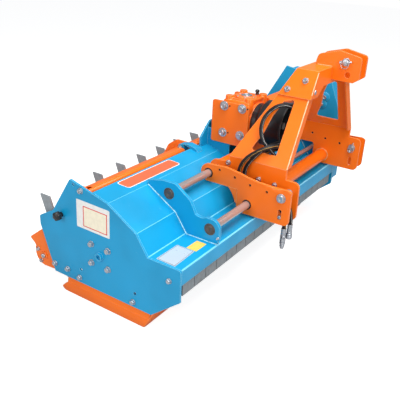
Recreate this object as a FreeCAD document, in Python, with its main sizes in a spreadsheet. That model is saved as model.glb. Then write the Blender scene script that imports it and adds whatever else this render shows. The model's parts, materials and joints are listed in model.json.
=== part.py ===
import FreeCAD, Part

import math
import os
from types import SimpleNamespace

import Sketcher
from FreeCAD import Rotation, Vector

# Tractor-mounted flail mulcher with hydraulic side shift, in millimetres.
#
# The machine is laid out from one corner: x runs across it from the outer face of the
# right-hand side plate, y runs rearwards from the front lip of the hood, z runs up from
# the floor.  Every sub-part is placed from there and then moved by the same datum, so
# that the origin lies on the floor under the middle of the whole machine.
DIMENSIONS = {
    # hood and side plates: the outline that both follow, from the front lip rearwards
    "body_width": 1472,
    "side_plate_t": 8,
    "hood_t": 6,
    "deck_height": 331,
    "deck_rear": 155,
    "knee_y": 210,
    "knee_z": 413,
    "brow_y": 350,
    "brow_z": 497,
    "hood_rear_y": 470,
    "hood_rear_z": 532,
    "lip_drop": 66,
    "lip_bend": 12,
    "peak_y": 545,
    "peak_z": 548,
    "notch_y": 655,
    "notch_z": 379,
    "heel_y": 740,
    "heel_top": 330,
    "heel_low": 289,
    "foot_y": 668,
    "foot_z": 80,
    "toe_y": 136,
    "chin_z": 193,
    "plate_corner": 12,
    # rear hood and its hinge
    "hinge_y": 487,
    "hinge_z": 513,
    "hinge_pin": 8,
    "hinge_eye": 14,
    "rim_bar_y": 512,
    "rim_bar_z": 491,
    "rim_bar": 14,
    "rear_hood_t": 5,
    "rear_hood_bend_y": 596,
    "rear_hood_bend_z": 404,
    "rear_hood_end_y": 615,
    "rear_hood_end_z": 349,
    "rear_hood_gap": 5,
    "centre_hinge_x": 665,
    "centre_bracket_w": 40,
    "centre_arm_t": 10,
    # latch knob
    "knob_y": 606,
    "knob_z": 374,
    "knob": 15,
    "knob_length": 26,
    # front flaps
    "flap_rod_y": 51,
    "flap_rod_z": 271,
    "flap_rod": 8,
    "flap_eye": 12,
    "flap_t": 6,
    "flap_pitch": 79,
    "flap_gap": 4,
    "flap_low": 207,
    "lip_gap": 2,
    # rotor and hammers
    "rotor_y": 398,
    "rotor_z": 249,
    "rotor_tube": 68,
    "rotor_end_gap": 52,
    "rotor_shaft": 25,
    "hammer_reach": 195,
    "hammer_w": 64,
    "hammer_t": 14,
    "hammer_pin": 9,
    "lug_reach": 106,
    "lug_t": 8,
    "bearing_square": 112,
    "bearing_flange_t": 14,
    "bearing_boss": 48,
    "bearing_depth": 40,
    "boss_pipe": 17,
    "boss_pipe_bore": 11,
    "boss_pipe_length": 12,
    # skids
    "skid_width": 170,
    "skid_t": 7,
    "skid_front": 173,
    "skid_rear": 655,
    "skid_front_lift": 16,
    "skid_rear_lift": 42,
    "skid_jog_low": 50,
    "skid_jog_high": 72,
    "skid_top": 160,
    # rake at the rear
    "tine_width": 55,
    "tine_t": 8,
    "tine_top_y": 720.5,
    "tine_top_z": 421,
    "tine_foot_y": 588,
    "tine_foot_z": 60,
    "tine_first": 22,
    "tine_pitch": 157,
    "rake_low": 198,
    "rake_high": 243,
    "rake_depth": 40,
    "rake_wall": 5,
    # roller, its arms and the rear guard between them
    "roller_y": 741,
    "roller_z": 128,
    "roller": 50,
    "roller_shaft": 17.5,
    "roller_end_gap": 14,
    "arm_t": 8,
    "arm_disc": 55,
    "arm_front": 562,
    "beak_y": 827,
    "beak_z": 193,
    "beak_fold_y": 753,
    "beak_fold_z": 251,
    "guard_t": 5,
    # guide rods of the side shift
    "front_rod_y": 40,
    "front_rod_rise": 57,
    "rear_rod_y": 242,
    "rear_rod_z": 485,
    "rod": 17.5,
    "bracket_x": 247,
    "bracket_t": 14,
    "bracket_ear": 45,
    # headstock that slides on the rods
    "hitch_offset": 480,
    "hitch_inner": 372,
    "hitch_gap": 61,
    "hitch_plate_t": 10,
    "hitch_front": -162,
    "hitch_top": 515,
    "hitch_rise": 11,
    "lower_pin_y": -119,
    "lower_pin_z": 463,
    "lower_pin": 14,
    "lower_pin_over": 12,
    "slot_y": -118,
    "slot_rise": 30,
    "slot_length": 31,
    "slot": 8,
    "hitch_hole": 6,
    "hole_rear_y": 186,
    "hole_rear_z": 512,
    "hole_second_y": 108,
    "hole_second_z": 497,
    "hole_third_y": 31,
    "hole_third_z": 481,
    "hole_front_y": -50,
    "hole_front_z": 472,
    "window_front": 92,
    "window_top": 446,
    "rear_ear": 39.5,
    "bracket_waist": 104,
    "front_sleeve": 32.5,
    "rear_sleeve": 33,
    # mast
    "leg_foot_z": 560,
    "leg_top_z": 938,
    "leg_top_half": 182,
    "leg_t": 8,
    "leg_front": -98,
    "leg_rear_low": 182,
    "leg_rear_top": -6,
    "leg_flange": 45,
    "window_round": 9,
    "window_foot_front_y": -32,
    "window_foot_front_rise": 40,
    "window_foot_rear_y": 92,
    "window_foot_rear_rise": 42,
    "window_waist_y": 58,
    "window_waist_rise": 112,
    "window_neck_y": 40,
    "window_neck_rise": 185,
    "window_head_rear_y": 8,
    "window_head_rear_rise": 252,
    "window_head_front_y": -38,
    "window_head_front_rise": 262,
    "cap_t": 6,
    "cap_drop": 104,
    "cap_front": -108,
    "cap_wall_drop": 66,
    "top_plate_half": 41,
    "top_plate_t": 10,
    "top_plate_front": -232,
    "top_plate_drop": 52,
    "top_plate_rise": 78,
    "top_pin_y": -166,
    "top_pin_rise": 34,
    "top_pin": 12.5,
    "top_pin_over": 22,
    "top_hole_y": -178,
    "top_hole_drop": 21,
    # side shift cylinder
    "cylinder_y": 125,
    "cylinder_z": 398,
    "cylinder": 27,
    "cylinder_bore": 20,
    "cylinder_rod": 12.5,
    "cylinder_base": 15,
    "cylinder_gland": 25,
    "cylinder_length": 450,
    "port": 10,
    "port_inset": 40,
    "port_rise": 15,
    "cylinder_lug_t": 10,
    "piston_x": 700,
    "piston_t": 25,
    # hoses of the side shift cylinder
    "hose": 7.5,
    "coupling": 14,
    # gearbox, its cradle and the shafts
    "gearbox_offset": 107,
    "shaft_z": 655,
    "gear_plate_half": 105,
    "gear_plate_t": 10,
    "gear_front": 195,
    "gear_rear": 390,
    "gear_low": 544,
    "gear_top": 745,
    "gear_head": 22,
    "gear_lug": 20,
    "cradle_t": 8,
    "cradle_front": 290,
    "cradle_rear": 415,
    "cradle_top": 600,
    "cradle_shoulder": 563,
    "cradle_half": 155,
    "cover_tube": 45,
    "cover_tube_y": 295,
    "pto_shaft": 17.5,
    "pto_front": 62,
    "pto_stub": 80,
    "pto_journal": 22,
    "journal_depth": 50,
    "bell": 110,
    "bell_neck": 84,
    "bell_front": 30,
    "bell_t": 3,
    # belt guard
    "guard_depth": 113,
    "guard_peak_y": 350,
    "guard_peak_z": 808,
    "guard_head_y": 79,
    "guard_head_z": 762,
    "guard_brow_y": 15,
    "guard_brow_z": 609,
    "guard_front_z": 560,
    "guard_chin_z": 197,
    "guard_low_y": 190,
    "guard_low_z": 104,
    "guard_low_rear_y": 500,
    "guard_heel_y": 566,
    "guard_heel_z": 190,
    "guard_waist_z": 480,
    "guard_neck_y": 456,
    "guard_neck_z": 620,
    "guard_plate_t": 6,
    "guard_rim": 14,
}

# Routes of the two hoses, from the cylinder's port to the coupling
HOSE_NEAR = [
    (670, 125, 440),
    (670, 125, 493),
    (697, 111, 537),
    (744, 65, 567),
    (738, 5, 606),
    (685, -25, 646),
    (618, -6, 664),
    (574, 48, 645),
    (571, 107, 580),
    (567, 124, 511),
    (567, 104, 458),
    (567, 57, 426),
    (567, 0, 428),
    (567, -64, 432),
    (567, -111, 404),
    (567, -134, 364),
    (567, -134, 318),
]
HOSE_FAR = [
    (1012, 125, 449),
    (932, 125, 449),
    (849, 118, 455),
    (775, 97, 469),
    (716, 60, 499),
    (685, 8, 535),
    (663, -12, 591),
    (638, 11, 644),
    (640, 59, 701),
    (665, 56, 770),
    (711, 11, 806),
    (766, -30, 788),
    (800, -47, 727),
    (791, -29, 658),
    (745, 12, 622),
    (679, 35, 631),
    (635, 54, 625),
    (599, 93, 597),
    (591, 126, 539),
    (592, 119, 481),
    (592, 78, 438),
    (592, 19, 428),
    (592, -59, 454),
    (592, -121, 427),
    (592, -150, 383),
    (592, -150, 332),
]

# Clearances, named once
FIT = 0.05  # radius, a shaft turning in its bearing
SLIDE_FIT = 0.3  # radius, the sleeves of the headstock on the guide rods
LOOSE_FIT = 1.5  # radius, a rod passing through a plate that it doesn't bear on
SEAT_FIT = 0.1  # radius, a rod held in its bracket

doc = FreeCAD.newDocument("mulcher")


class Size:
    """A length together with the sheet formula that gives it."""

    def __init__(self, value, formula):
        self.value = float(value)
        self.formula = formula

    def __add__(self, other):
        other = as_size(other)
        return Size(self.value + other.value, f"({self.formula} + {other.formula})")

    def __sub__(self, other):
        other = as_size(other)
        return Size(self.value - other.value, f"({self.formula} - {other.formula})")

    def __mul__(self, other):
        other = as_size(other)
        return Size(self.value * other.value, f"({self.formula} * {other.formula})")

    def __truediv__(self, other):
        other = as_size(other)
        return Size(self.value / other.value, f"({self.formula} / {other.formula})")

    def __radd__(self, other):
        return as_size(other) + self

    def __rsub__(self, other):
        return as_size(other) - self

    def __rmul__(self, other):
        return as_size(other) * self

    def __neg__(self):
        return Size(-self.value, f"(-1 * {self.formula})")


def as_size(number):
    """A plain number as a Size; a Size stays as it is."""
    if isinstance(number, Size):
        return number
    return Size(number, f"({float(number)!r})")


def fill_sheet():
    """Write the driving dimensions into the document's spreadsheet."""
    sheet = doc.addObject("Spreadsheet::Sheet", "dims")
    sizes = {}
    for row, (name, value) in enumerate(DIMENSIONS.items(), start=1):
        sheet.set(f"A{row}", name)
        sheet.set(f"B{row}", str(value))
        sheet.setAlias(f"B{row}", name)
        sizes[name] = Size(value, f"dims.{name}")
    doc.recompute()
    return SimpleNamespace(**sizes)


d = fill_sheet()

# Places that follow from other sizes
d.front_rod_z = d.deck_height + d.front_rod_rise
d.hitch_low = d.deck_height + d.hitch_rise
d.slot_low = d.hitch_low + d.slot_rise
d.slot_high = d.slot_low + d.slot_length
d.hitch_middle = d.body_width - d.hitch_offset
d.gearbox_x = d.hitch_middle - d.gearbox_offset
d.cap_low_z = d.leg_top_z - d.cap_drop
d.top_plate_low = d.leg_top_z - d.top_plate_drop
d.top_plate_peak = d.leg_top_z + d.top_plate_rise
d.top_pin_z = d.leg_top_z + d.top_pin_rise
d.top_hole_z = d.leg_top_z - d.top_hole_drop

# Where the origin lies, measured from the corner that the machine is laid out from
datum_x = (d.body_width + d.guard_depth - d.knob_length) / 2
datum_y = (d.beak_y + d.top_plate_front) / 2

nodes = []


# ---------------------------------------------------------------- general helpers


def bind(target, name, size):
    """Tie one property of an object to the sheet."""
    target.setExpression(name, as_size(size).formula)


def place(target, x=0, y=0, z=0):
    """Place an object at a point of the layout."""
    bind(target, ".Placement.Base.x", x - datum_x)
    bind(target, ".Placement.Base.y", y - datum_y)
    bind(target, ".Placement.Base.z", as_size(z))


def keep(target, label):
    """Give a finished sub-part the label that names its file."""
    target.Label = label
    nodes.append(target)
    return target


PLANES = {"side": "YZ_Plane", "front": "XZ_Plane", "plan": "XY_Plane"}


def new_body(label):
    return doc.addObject("PartDesign::Body", label)


def origin_feature(body, role):
    """One of the planes or axes of the body's own origin."""
    return next(part for part in body.Origin.OriginFeatures if part.Role == role)


def new_sketch(body, plane, away=0):
    """A sketch on one origin plane of the body, moved off it along +X, +Y or +Z."""
    sketch = body.newObject("Sketcher::SketchObject", f"{body.Name}_sketch")
    sketch.AttachmentSupport = [(origin_feature(body, PLANES[plane]), "")]
    sketch.MapMode = "FlatFace"
    offset = as_size(away)
    bind(sketch, "AttachmentOffset.Base.z", -offset if plane == "front" else offset)
    return sketch


def hold(sketch, kind, geometry, point, size):
    """Dimension one point of the sketch from the sketch's origin."""
    size = as_size(size)
    rule = Sketcher.Constraint(kind, -1, 1, geometry, point, size.value)
    index = sketch.addConstraint(rule)
    sketch.setExpression(f"Constraints[{index}]", size.formula)


def draw_outline(sketch, points):
    """A closed outline of straight lines, every corner dimensioned."""
    first = sketch.GeometryCount
    count = len(points)
    corners = [Vector(as_size(u).value, as_size(v).value, 0) for u, v in points]
    lines = []
    joins = []
    for index in range(count):
        after = (index + 1) % count
        lines.append(Part.LineSegment(corners[index], corners[after]))
        joins.append(Sketcher.Constraint("Coincident", first + index, 2, first + after, 1))
    sketch.addGeometry(lines, False)
    sketch.addConstraint(joins)
    for index, (u, v) in enumerate(points):
        hold(sketch, "DistanceX", first + index, 1, u)
        hold(sketch, "DistanceY", first + index, 1, v)


def draw_circle(sketch, u, v, radius):
    """A dimensioned circle."""
    radius = as_size(radius)
    centre = Vector(as_size(u).value, as_size(v).value, 0)
    index = sketch.addGeometry(Part.Circle(centre, Vector(0, 0, 1), radius.value), False)
    hold(sketch, "DistanceX", index, 3, u)
    hold(sketch, "DistanceY", index, 3, v)
    rule = sketch.addConstraint(Sketcher.Constraint("Radius", index, radius.value))
    sketch.setExpression(f"Constraints[{rule}]", radius.formula)


def draw_slot(sketch, u, v_low, v_high, radius):
    """An upright slot with round ends."""
    radius = as_size(radius)
    low = Vector(as_size(u).value, as_size(v_low).value, 0)
    high = Vector(as_size(u).value, as_size(v_high).value, 0)
    side = Vector(radius.value, 0, 0)
    axis = Vector(0, 0, 1)
    first = sketch.GeometryCount
    top = Part.ArcOfCircle(Part.Circle(high, axis, radius.value), 0, math.pi)
    bottom = Part.ArcOfCircle(Part.Circle(low, axis, radius.value), math.pi, 2 * math.pi)
    left = Part.LineSegment(high - side, low - side)
    right = Part.LineSegment(low + side, high + side)
    sketch.addGeometry([top, left, bottom, right], False)
    rules = []
    for index in range(4):
        after = first + (index + 1) % 4
        rules.append(Sketcher.Constraint("Tangent", first + index, 2, after, 1))
    sketch.addConstraint(rules)
    hold(sketch, "DistanceX", first, 3, u)
    hold(sketch, "DistanceY", first, 3, v_high)
    hold(sketch, "DistanceY", first + 2, 3, v_low)
    rule = sketch.addConstraint(Sketcher.Constraint("Radius", first, radius.value))
    sketch.setExpression(f"Constraints[{rule}]", radius.formula)


def pad(body, sketch, length):
    """Extrude a sketch along +X, +Y or +Z."""
    feature = body.newObject("PartDesign::Pad", f"{body.Name}_pad")
    feature.Profile = sketch
    bind(feature, "Length", length)
    feature.Reversed = sketch.AttachmentSupport[0][0].Role == "XZ_Plane"
    sketch.Visibility = False
    return feature


def cut_through(body, sketch):
    """Cut a sketch through the whole body, both ways."""
    feature = body.newObject("PartDesign::Pocket", f"{body.Name}_pocket")
    feature.Profile = sketch
    feature.Type = "ThroughAll"
    feature.Midplane = True
    return feature


AXIS_COORDINATES = {"side": ("y", "z"), "front": ("x", "z"), "plan": ("x", "y")}


def edges_at(feature, plane, corners):
    """Names of the straight edges that cross the sketch plane at the given corners."""
    doc.recompute()
    first, second = AXIS_COORDINATES[plane]
    spots = [(as_size(u).value, as_size(v).value) for u, v in corners]
    found = []
    for index, edge in enumerate(feature.Shape.Edges, start=1):
        ends = [(getattr(v.Point, first), getattr(v.Point, second)) for v in edge.Vertexes]
        if len(ends) != 2:
            continue
        for u, v in spots:
            if all(math.hypot(a - u, b - v) < 0.01 for a, b in ends):
                found.append(f"Edge{index}")
    return found


def round_edges(body, feature, plane, corners, radius):
    """Round the corner edges that cross the sketch plane at the given points."""
    fillet = body.newObject("PartDesign::Fillet", f"{body.Name}_fillet")
    fillet.Base = (feature, edges_at(feature, plane, corners))
    bind(fillet, "Radius", radius)
    return fillet


def make_plate(label, x, thickness, points, holes=(), rounds=(), slots=()):
    """A plate standing across the machine's width, with holes and rounded corners.

    rounds pairs a radius with the corners that it rounds.
    """
    body = new_body(label)
    sketch = new_sketch(body, "side")
    draw_outline(sketch, points)
    for u, v, radius in holes:
        draw_circle(sketch, u, v, radius)
    for u, low, high, radius in slots:
        draw_slot(sketch, u, low, high, radius)
    feature = pad(body, sketch, thickness)
    for radius, corners in rounds:
        feature = round_edges(body, feature, "side", corners, radius)
    place(body, x=x)
    return body


def make_bar(label, x, length, y, z, radius, bore=None):
    """A round bar or tube lying across the machine."""
    body = new_body(label)
    sketch = new_sketch(body, "side")
    draw_circle(sketch, y, z, radius)
    if bore is not None:
        draw_circle(sketch, y, z, bore)
    pad(body, sketch, length)
    place(body, x=x)
    return body


def add_pad(body, plane, length, points=(), circles=(), away=0):
    """One more pad on a body."""
    sketch = new_sketch(body, plane, away)
    if points:
        draw_outline(sketch, points)
    for u, v, radius in circles:
        draw_circle(sketch, u, v, radius)
    return pad(body, sketch, length)


def add_cut(body, plane, points=(), circles=()):
    """Cut outlines and holes through a body."""
    sketch = new_sketch(body, plane)
    if points:
        draw_outline(sketch, points)
    for u, v, radius in circles:
        draw_circle(sketch, u, v, radius)
    return cut_through(body, sketch)


def fuse(label, pieces):
    """Weld several shapes into one solid."""
    target = doc.addObject("Part::MultiFuse", label)
    target.Shapes = pieces
    target.Refine = True
    return target


def faces_where(feature, test):
    """Names of the faces whose middle and normal pass a test."""
    doc.recompute()
    names = []
    for index, face in enumerate(feature.Shape.Faces, start=1):
        u_low, u_high, v_low, v_high = face.ParameterRange
        normal = face.normalAt((u_low + u_high) / 2, (v_low + v_high) / 2)
        if test(face.CenterOfMass, normal):
            names.append(f"Face{index}")
    return names


def hollow(body, feature, open_faces, thickness):
    """Turn a solid block into sheet: the listed faces are left open."""
    sheet = body.newObject("PartDesign::Thickness", f"{body.Name}_sheet")
    sheet.Base = (feature, open_faces)
    bind(sheet, "Value", thickness)
    sheet.Reversed = True
    sheet.Join = 1
    return sheet


# ---------------------------------------------------------------- hood and side plates

inner_width = d.body_width - d.side_plate_t * 2
lip_z = d.deck_height - d.lip_drop
hood_line = [
    (0, d.deck_height),
    (d.deck_rear, d.deck_height),
    (d.knee_y, d.knee_z),
    (d.brow_y, d.brow_z),
]


def side_plate(label, x):
    """End plate of the machine: its top edge follows the hood."""
    outline = hood_line + [
        (d.peak_y, d.peak_z),
        (d.notch_y, d.notch_z),
        (d.heel_y, d.heel_top),
        (d.heel_y, d.heel_low),
        (d.foot_y, d.foot_z),
        (d.toe_y, d.foot_z),
        (0, d.chin_z),
    ]
    hinge_hole = (d.hinge_y, d.hinge_z, d.hinge_pin + SEAT_FIT)
    spare_holes = [(y, d.foot_z + 65, as_size(7)) for y in (218, 509)]
    tip_hole = (d.peak_y - 18, d.peak_z - 20, as_size(6))
    rounds = [
        (d.plate_corner, [(d.peak_y, d.peak_z), (d.heel_y, d.heel_top), (0, d.deck_height)]),
    ]
    return make_plate(label, x, d.side_plate_t, outline, [hinge_hole, tip_hole] + spare_holes, rounds)


def build_side_plates():
    right = side_plate("side_plate_right", 0)
    # short pipe that guards the grease point of the rotor bearing
    ring = [
        (d.rotor_y, d.rotor_z, d.boss_pipe),
        (d.rotor_y, d.rotor_z, d.boss_pipe_bore),
    ]
    add_pad(right, "side", d.boss_pipe_length, circles=ring, away=-d.boss_pipe_length)
    keep(right, "side_plate_right")
    keep(side_plate("side_plate_left", d.body_width - d.side_plate_t), "side_plate_left")


def build_hood():
    """The folded hood sheet: front lip, deck, and two sloping panels."""
    body = new_body("hood_sheet")
    outline = hood_line + [
        (d.hood_rear_y, d.hood_rear_z),
        (d.hood_rear_y, lip_z),
        (0, lip_z),
    ]
    feature = add_pad(body, "side", inner_width, outline)
    feature = round_edges(body, feature, "side", [(0, d.deck_height)], d.lip_bend)
    rear = d.hood_rear_y.value
    low = lip_z.value

    def is_open(middle, normal):
        return abs(normal.x) > 0.99 or abs(middle.y - rear) < 0.1 or abs(middle.z - low) < 0.1

    hollow(body, feature, faces_where(feature, is_open), d.hood_t)
    place(body, x=d.side_plate_t)
    keep(body, "hood_sheet")


def build_flaps():
    """Steel flaps that hang from a rod behind the front lip."""
    rod = make_bar("flap_rod", d.side_plate_t, inner_width, d.flap_rod_y, d.flap_rod_z, d.flap_rod)
    keep(rod, "flap_rod")
    body = new_body("front_flaps")
    face = d.hood_t + d.lip_gap
    eye_top = d.flap_rod_z + d.flap_eye
    eye_low = d.flap_rod_z - d.flap_eye
    eye_front = d.flap_rod_y - d.flap_eye
    eye_rear = d.flap_rod_y + d.flap_eye
    arm_low = eye_top - d.flap_t
    outline = [
        (face, d.flap_low),
        (face + d.flap_t, d.flap_low),
        (face + d.flap_t, arm_low),
        (eye_front, arm_low),
        (eye_front, eye_low),
        (eye_rear, eye_low),
        (eye_rear, eye_top),
        (face, eye_top),
    ]
    sketch = new_sketch(body, "side")
    draw_outline(sketch, outline)
    draw_circle(sketch, d.flap_rod_y, d.flap_rod_z, d.flap_rod + SLIDE_FIT)
    width = d.flap_pitch - d.flap_gap
    feature = pad(body, sketch, width)
    corners = [(eye_front, eye_low), (eye_rear, eye_low), (eye_rear, eye_top)]
    feature = round_edges(body, feature, "side", corners, d.flap_eye - 1)
    row = body.newObject("PartDesign::LinearPattern", "front_flaps_row")
    row.Originals = [feature]
    row.TransformMode = "Whole shape"
    row.Direction = (origin_feature(body, "X_Axis"), [""])
    row.Mode = "Spacing"
    count = int(inner_width.value // d.flap_pitch.value)
    bind(row, "Offset", d.flap_pitch)
    row.Occurrences = count
    body.Tip = row
    margin = (inner_width - d.flap_pitch * count + d.flap_gap) / 2
    place(body, x=d.side_plate_t + margin)
    keep(body, "front_flaps")


# ---------------------------------------------------------------- rear hood


def build_rear_hood():
    """Hinged rear cover: rolled front rim, bent sheet, end ears and a centre arm."""
    start = d.side_plate_t + d.rear_hood_gap
    width = inner_width - d.rear_hood_gap * 2
    rim = make_bar("rear_hood_rim", start, width, d.rim_bar_y, d.rim_bar_z, d.rim_bar)
    # sheet from the rim down to the free edge
    sheet_t = d.rear_hood_t
    sheet_outline = [
        (d.rim_bar_y, d.rim_bar_z + d.rim_bar - 2),
        (d.rear_hood_bend_y, d.rear_hood_bend_z),
        (d.rear_hood_end_y, d.rear_hood_end_z),
        (d.rear_hood_end_y - sheet_t, d.rear_hood_end_z),
        (d.rear_hood_bend_y - sheet_t, d.rear_hood_bend_z - sheet_t / 2),
        (d.rim_bar_y, d.rim_bar_z),
    ]
    sheet_body = make_plate("rear_hood_sheet", start, width, sheet_outline)
    # ears at both ends, with the hinge bores
    ear_outline = [
        (d.hinge_y - d.hinge_eye, d.hinge_z - d.hinge_eye),
        (d.hinge_y - d.hinge_eye, d.hinge_z + d.hinge_eye),
        (d.hinge_y + d.hinge_eye, d.hinge_z + d.hinge_eye),
        (d.rear_hood_bend_y, d.rear_hood_bend_z),
        (d.rear_hood_end_y, d.rear_hood_end_z),
        (d.rear_hood_end_y - 40, d.rear_hood_end_z + 20),
    ]
    bore = [(d.hinge_y, d.hinge_z, d.hinge_pin + FIT)]
    eye_corners = [
        (d.hinge_y - d.hinge_eye, d.hinge_z - d.hinge_eye),
        (d.hinge_y - d.hinge_eye, d.hinge_z + d.hinge_eye),
    ]
    rounds = [(d.hinge_eye - 2, eye_corners)]
    ear_right = make_plate("rear_hood_ear_right", start, sheet_t, ear_outline, bore, rounds)
    ear_left_x = start + width - sheet_t
    ear_left = make_plate("rear_hood_ear_left", ear_left_x, sheet_t, ear_outline, bore, rounds)
    # domed arm in the middle, hinged on the hood's centre bracket
    arm_outline = [
        (d.hinge_y - d.hinge_eye, d.hinge_z - d.hinge_eye),
        (d.hinge_y - d.hinge_eye, d.hinge_z + d.hinge_eye),
        (d.peak_y, d.hinge_z + d.hinge_eye + 2),
        (d.peak_y + 48, d.hinge_z - 18),
        (d.rear_hood_bend_y + 32, d.rear_hood_bend_z + 24),
        (d.rear_hood_bend_y + 12, d.rear_hood_bend_z - 34),
        (d.rear_hood_bend_y, d.rear_hood_bend_z),
        (d.rim_bar_y, d.rim_bar_z),
    ]
    arm_rounds = [
        (d.hinge_eye - 2, eye_corners),
        (
            as_size(40),
            [(d.peak_y, d.hinge_z + d.hinge_eye + 2), (d.peak_y + 48, d.hinge_z - 18)],
        ),
    ]
    arm_x = d.centre_hinge_x + d.centre_bracket_w + 5
    arm = make_plate("rear_hood_arm", arm_x, d.centre_arm_t, arm_outline, bore, arm_rounds)
    keep(fuse("rear_hood", [rim, sheet_body, ear_right, ear_left, arm]), "rear_hood")


def build_hood_hinge():
    """Centre bracket on the hood and the three hinge pins."""
    # the bracket stands on the upper panel of the hood
    slope = (d.hood_rear_z - d.brow_z) / (d.hood_rear_y - d.brow_y)
    foot_y = d.brow_y + 36
    foot_z = d.brow_z + slope * 36
    outline = [
        (foot_y, foot_z),
        (foot_y + 14, d.hinge_z + 14),
        (d.hinge_y - 40, d.hinge_z + d.hinge_eye + 10),
        (d.hinge_y + d.hinge_eye, d.hinge_z + d.hinge_eye),
        (d.hinge_y + d.hinge_eye, d.hinge_z - d.hinge_eye),
        (d.hood_rear_y, d.hinge_z - d.hinge_eye),
        (d.hood_rear_y, d.hood_rear_z),
    ]
    bore = [(d.hinge_y, d.hinge_z, d.hinge_pin + SEAT_FIT)]
    eye = [
        (d.hinge_y + d.hinge_eye, d.hinge_z + d.hinge_eye),
        (d.hinge_y + d.hinge_eye, d.hinge_z - d.hinge_eye),
    ]
    crest = [(foot_y + 14, d.hinge_z + 14), (d.hinge_y - 40, d.hinge_z + d.hinge_eye + 10)]
    rounds = [(d.hinge_eye - 2, eye), (as_size(14), crest)]
    bracket = make_plate(
        "hinge_bracket", d.centre_hinge_x, d.centre_bracket_w, outline, bore, rounds
    )
    keep(bracket, "hinge_bracket")
    reach = d.side_plate_t + d.rear_hood_gap + d.rear_hood_t + 4
    length = d.centre_bracket_w + d.centre_arm_t + 10
    pins = []
    for name, x, size in (
        ("hinge_pin_right", as_size(0), reach),
        ("hinge_pin_left", d.body_width - reach, reach),
        ("hinge_pin_middle", d.centre_hinge_x, length),
    ):
        pins.append(make_bar(name, x, size, d.hinge_y, d.hinge_z, d.hinge_pin))
    group = doc.addObject("Part::Compound", "hinge_pins")
    group.Links = pins
    keep(group, "hinge_pins")


def build_knob():
    """Knob of the latch that holds the rear hood shut."""
    body = make_bar("latch_knob", -d.knob_length, d.knob_length, d.knob_y, d.knob_z, d.knob)
    keep(body, "latch_knob")


# ---------------------------------------------------------------- rotor

LUG_ROWS = 18  # hammers along the rotor
LUG_TURN = 130  # degrees from one hammer to the next


def about_rotor(shape, angle, x):
    """Turn a shape drawn above the rotor axis to its place on the rotor."""
    copy = shape.copy()
    copy.translate(Vector(x, 0, 0))
    copy.rotate(Vector(0, 0, 0), Vector(1, 0, 0), angle)
    return copy


def plate_from(points, x, thickness):
    """A flat plate across the rotor from its outline in the turning plane."""
    corners = [Vector(x, y, z) for y, z in points]
    face = Part.Face(Part.makePolygon(corners + corners[:1]))
    return face.extrude(Vector(thickness, 0, 0))


def build_rotor():
    """Rotor tube with shaft ends and lugs, and the swinging hammers on the lugs."""
    start = d.side_plate_t + d.rotor_end_gap
    length = inner_width - d.rotor_end_gap * 2
    tube = make_bar("rotor_core", start, length, d.rotor_y, d.rotor_z, d.rotor_tube)
    shaft_start = d.side_plate_t + 4
    shaft_length = inner_width - 8
    shaft = make_bar(
        "rotor_shaft", shaft_start, shaft_length, d.rotor_y, d.rotor_z, d.rotor_shaft
    )
    lug_t = d.lug_t.value
    inner = d.rotor_tube.value - 6
    reach = d.lug_reach.value
    pin_z = reach - d.hammer_pin.value - 7
    gap = d.hammer_t.value + 2
    lug_outline = [(-26, inner), (26, inner), (17, reach), (-17, reach)]
    lug = plate_from(lug_outline, 0, lug_t)
    pin_bore = Part.makeCylinder(
        d.hammer_pin.value, 4 * reach, Vector(-2 * reach, 0, pin_z), Vector(1, 0, 0)
    )
    lug = lug.cut(pin_bore)
    pin_length = gap + 2 * lug_t + 8
    pin = Part.makeCylinder(
        d.hammer_pin.value - SLIDE_FIT,
        pin_length,
        Vector(-pin_length / 2, 0, pin_z),
        Vector(1, 0, 0),
    )
    tip = d.hammer_reach.value
    half = d.hammer_w.value / 2
    shank_t = d.hammer_t.value
    shank = plate_from([(-15, pin_z - 15), (15, pin_z - 15), (15, tip - 30), (-15, tip - 30)],
                       -shank_t / 2, shank_t)
    head_outline = [(-22, tip - 34), (14, tip - 34), (26, tip - 8), (20, tip), (-22, tip - 8)]
    head = plate_from(head_outline, -half, 2 * half)
    hammer = shank.fuse([head, pin]).removeSplitter()
    lugs = []
    hammers = []
    step = (length.value - 2 * half - 8) / (LUG_ROWS - 1)
    for row in range(LUG_ROWS):
        x = half + 4 + row * step
        angle = LUG_TURN * row
        lugs.append(about_rotor(lug, angle, x - gap / 2 - lug_t))
        lugs.append(about_rotor(lug, angle, x + gap / 2))
        hammers.append(about_rotor(hammer, angle, x))
    lug_set = doc.addObject("Part::Feature", "rotor_lugs")
    lug_set.Shape = Part.makeCompound(lugs)
    place(lug_set, x=start, y=d.rotor_y, z=d.rotor_z)
    hammer_set = doc.addObject("Part::Feature", "rotor_hammers")
    hammer_set.Shape = Part.makeCompound(hammers)
    place(hammer_set, x=start, y=d.rotor_y, z=d.rotor_z)
    keep(fuse("rotor", [tube, shaft, lug_set]), "rotor")
    keep(hammer_set, "rotor_hammers")


def bearing_housing(label, x, flange_first):
    """Square-flanged bearing inside a side plate; the boss points to the rotor."""
    half = d.bearing_square / 2
    square = [
        (d.rotor_y - half, d.rotor_z - half),
        (d.rotor_y + half, d.rotor_z - half),
        (d.rotor_y + half, d.rotor_z + half),
        (d.rotor_y - half, d.rotor_z + half),
    ]
    bore = (d.rotor_y, d.rotor_z, d.rotor_shaft + FIT)
    boss = (d.rotor_y, d.rotor_z, d.bearing_boss)
    flange_x = 0 if flange_first else d.bearing_depth - d.bearing_flange_t
    body = new_body(label)
    flange = add_pad(body, "side", d.bearing_flange_t, square, [bore], away=flange_x)
    round_edges(body, flange, "side", square, as_size(16))
    add_pad(body, "side", d.bearing_depth, circles=[boss, bore])
    place(body, x=x)
    keep(body, label)


def build_bearings():
    bearing_housing("bearing_right", d.side_plate_t, True)
    far = d.body_width - d.side_plate_t - d.bearing_depth
    bearing_housing("bearing_left", far, False)


# ---------------------------------------------------------------- skids


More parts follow.
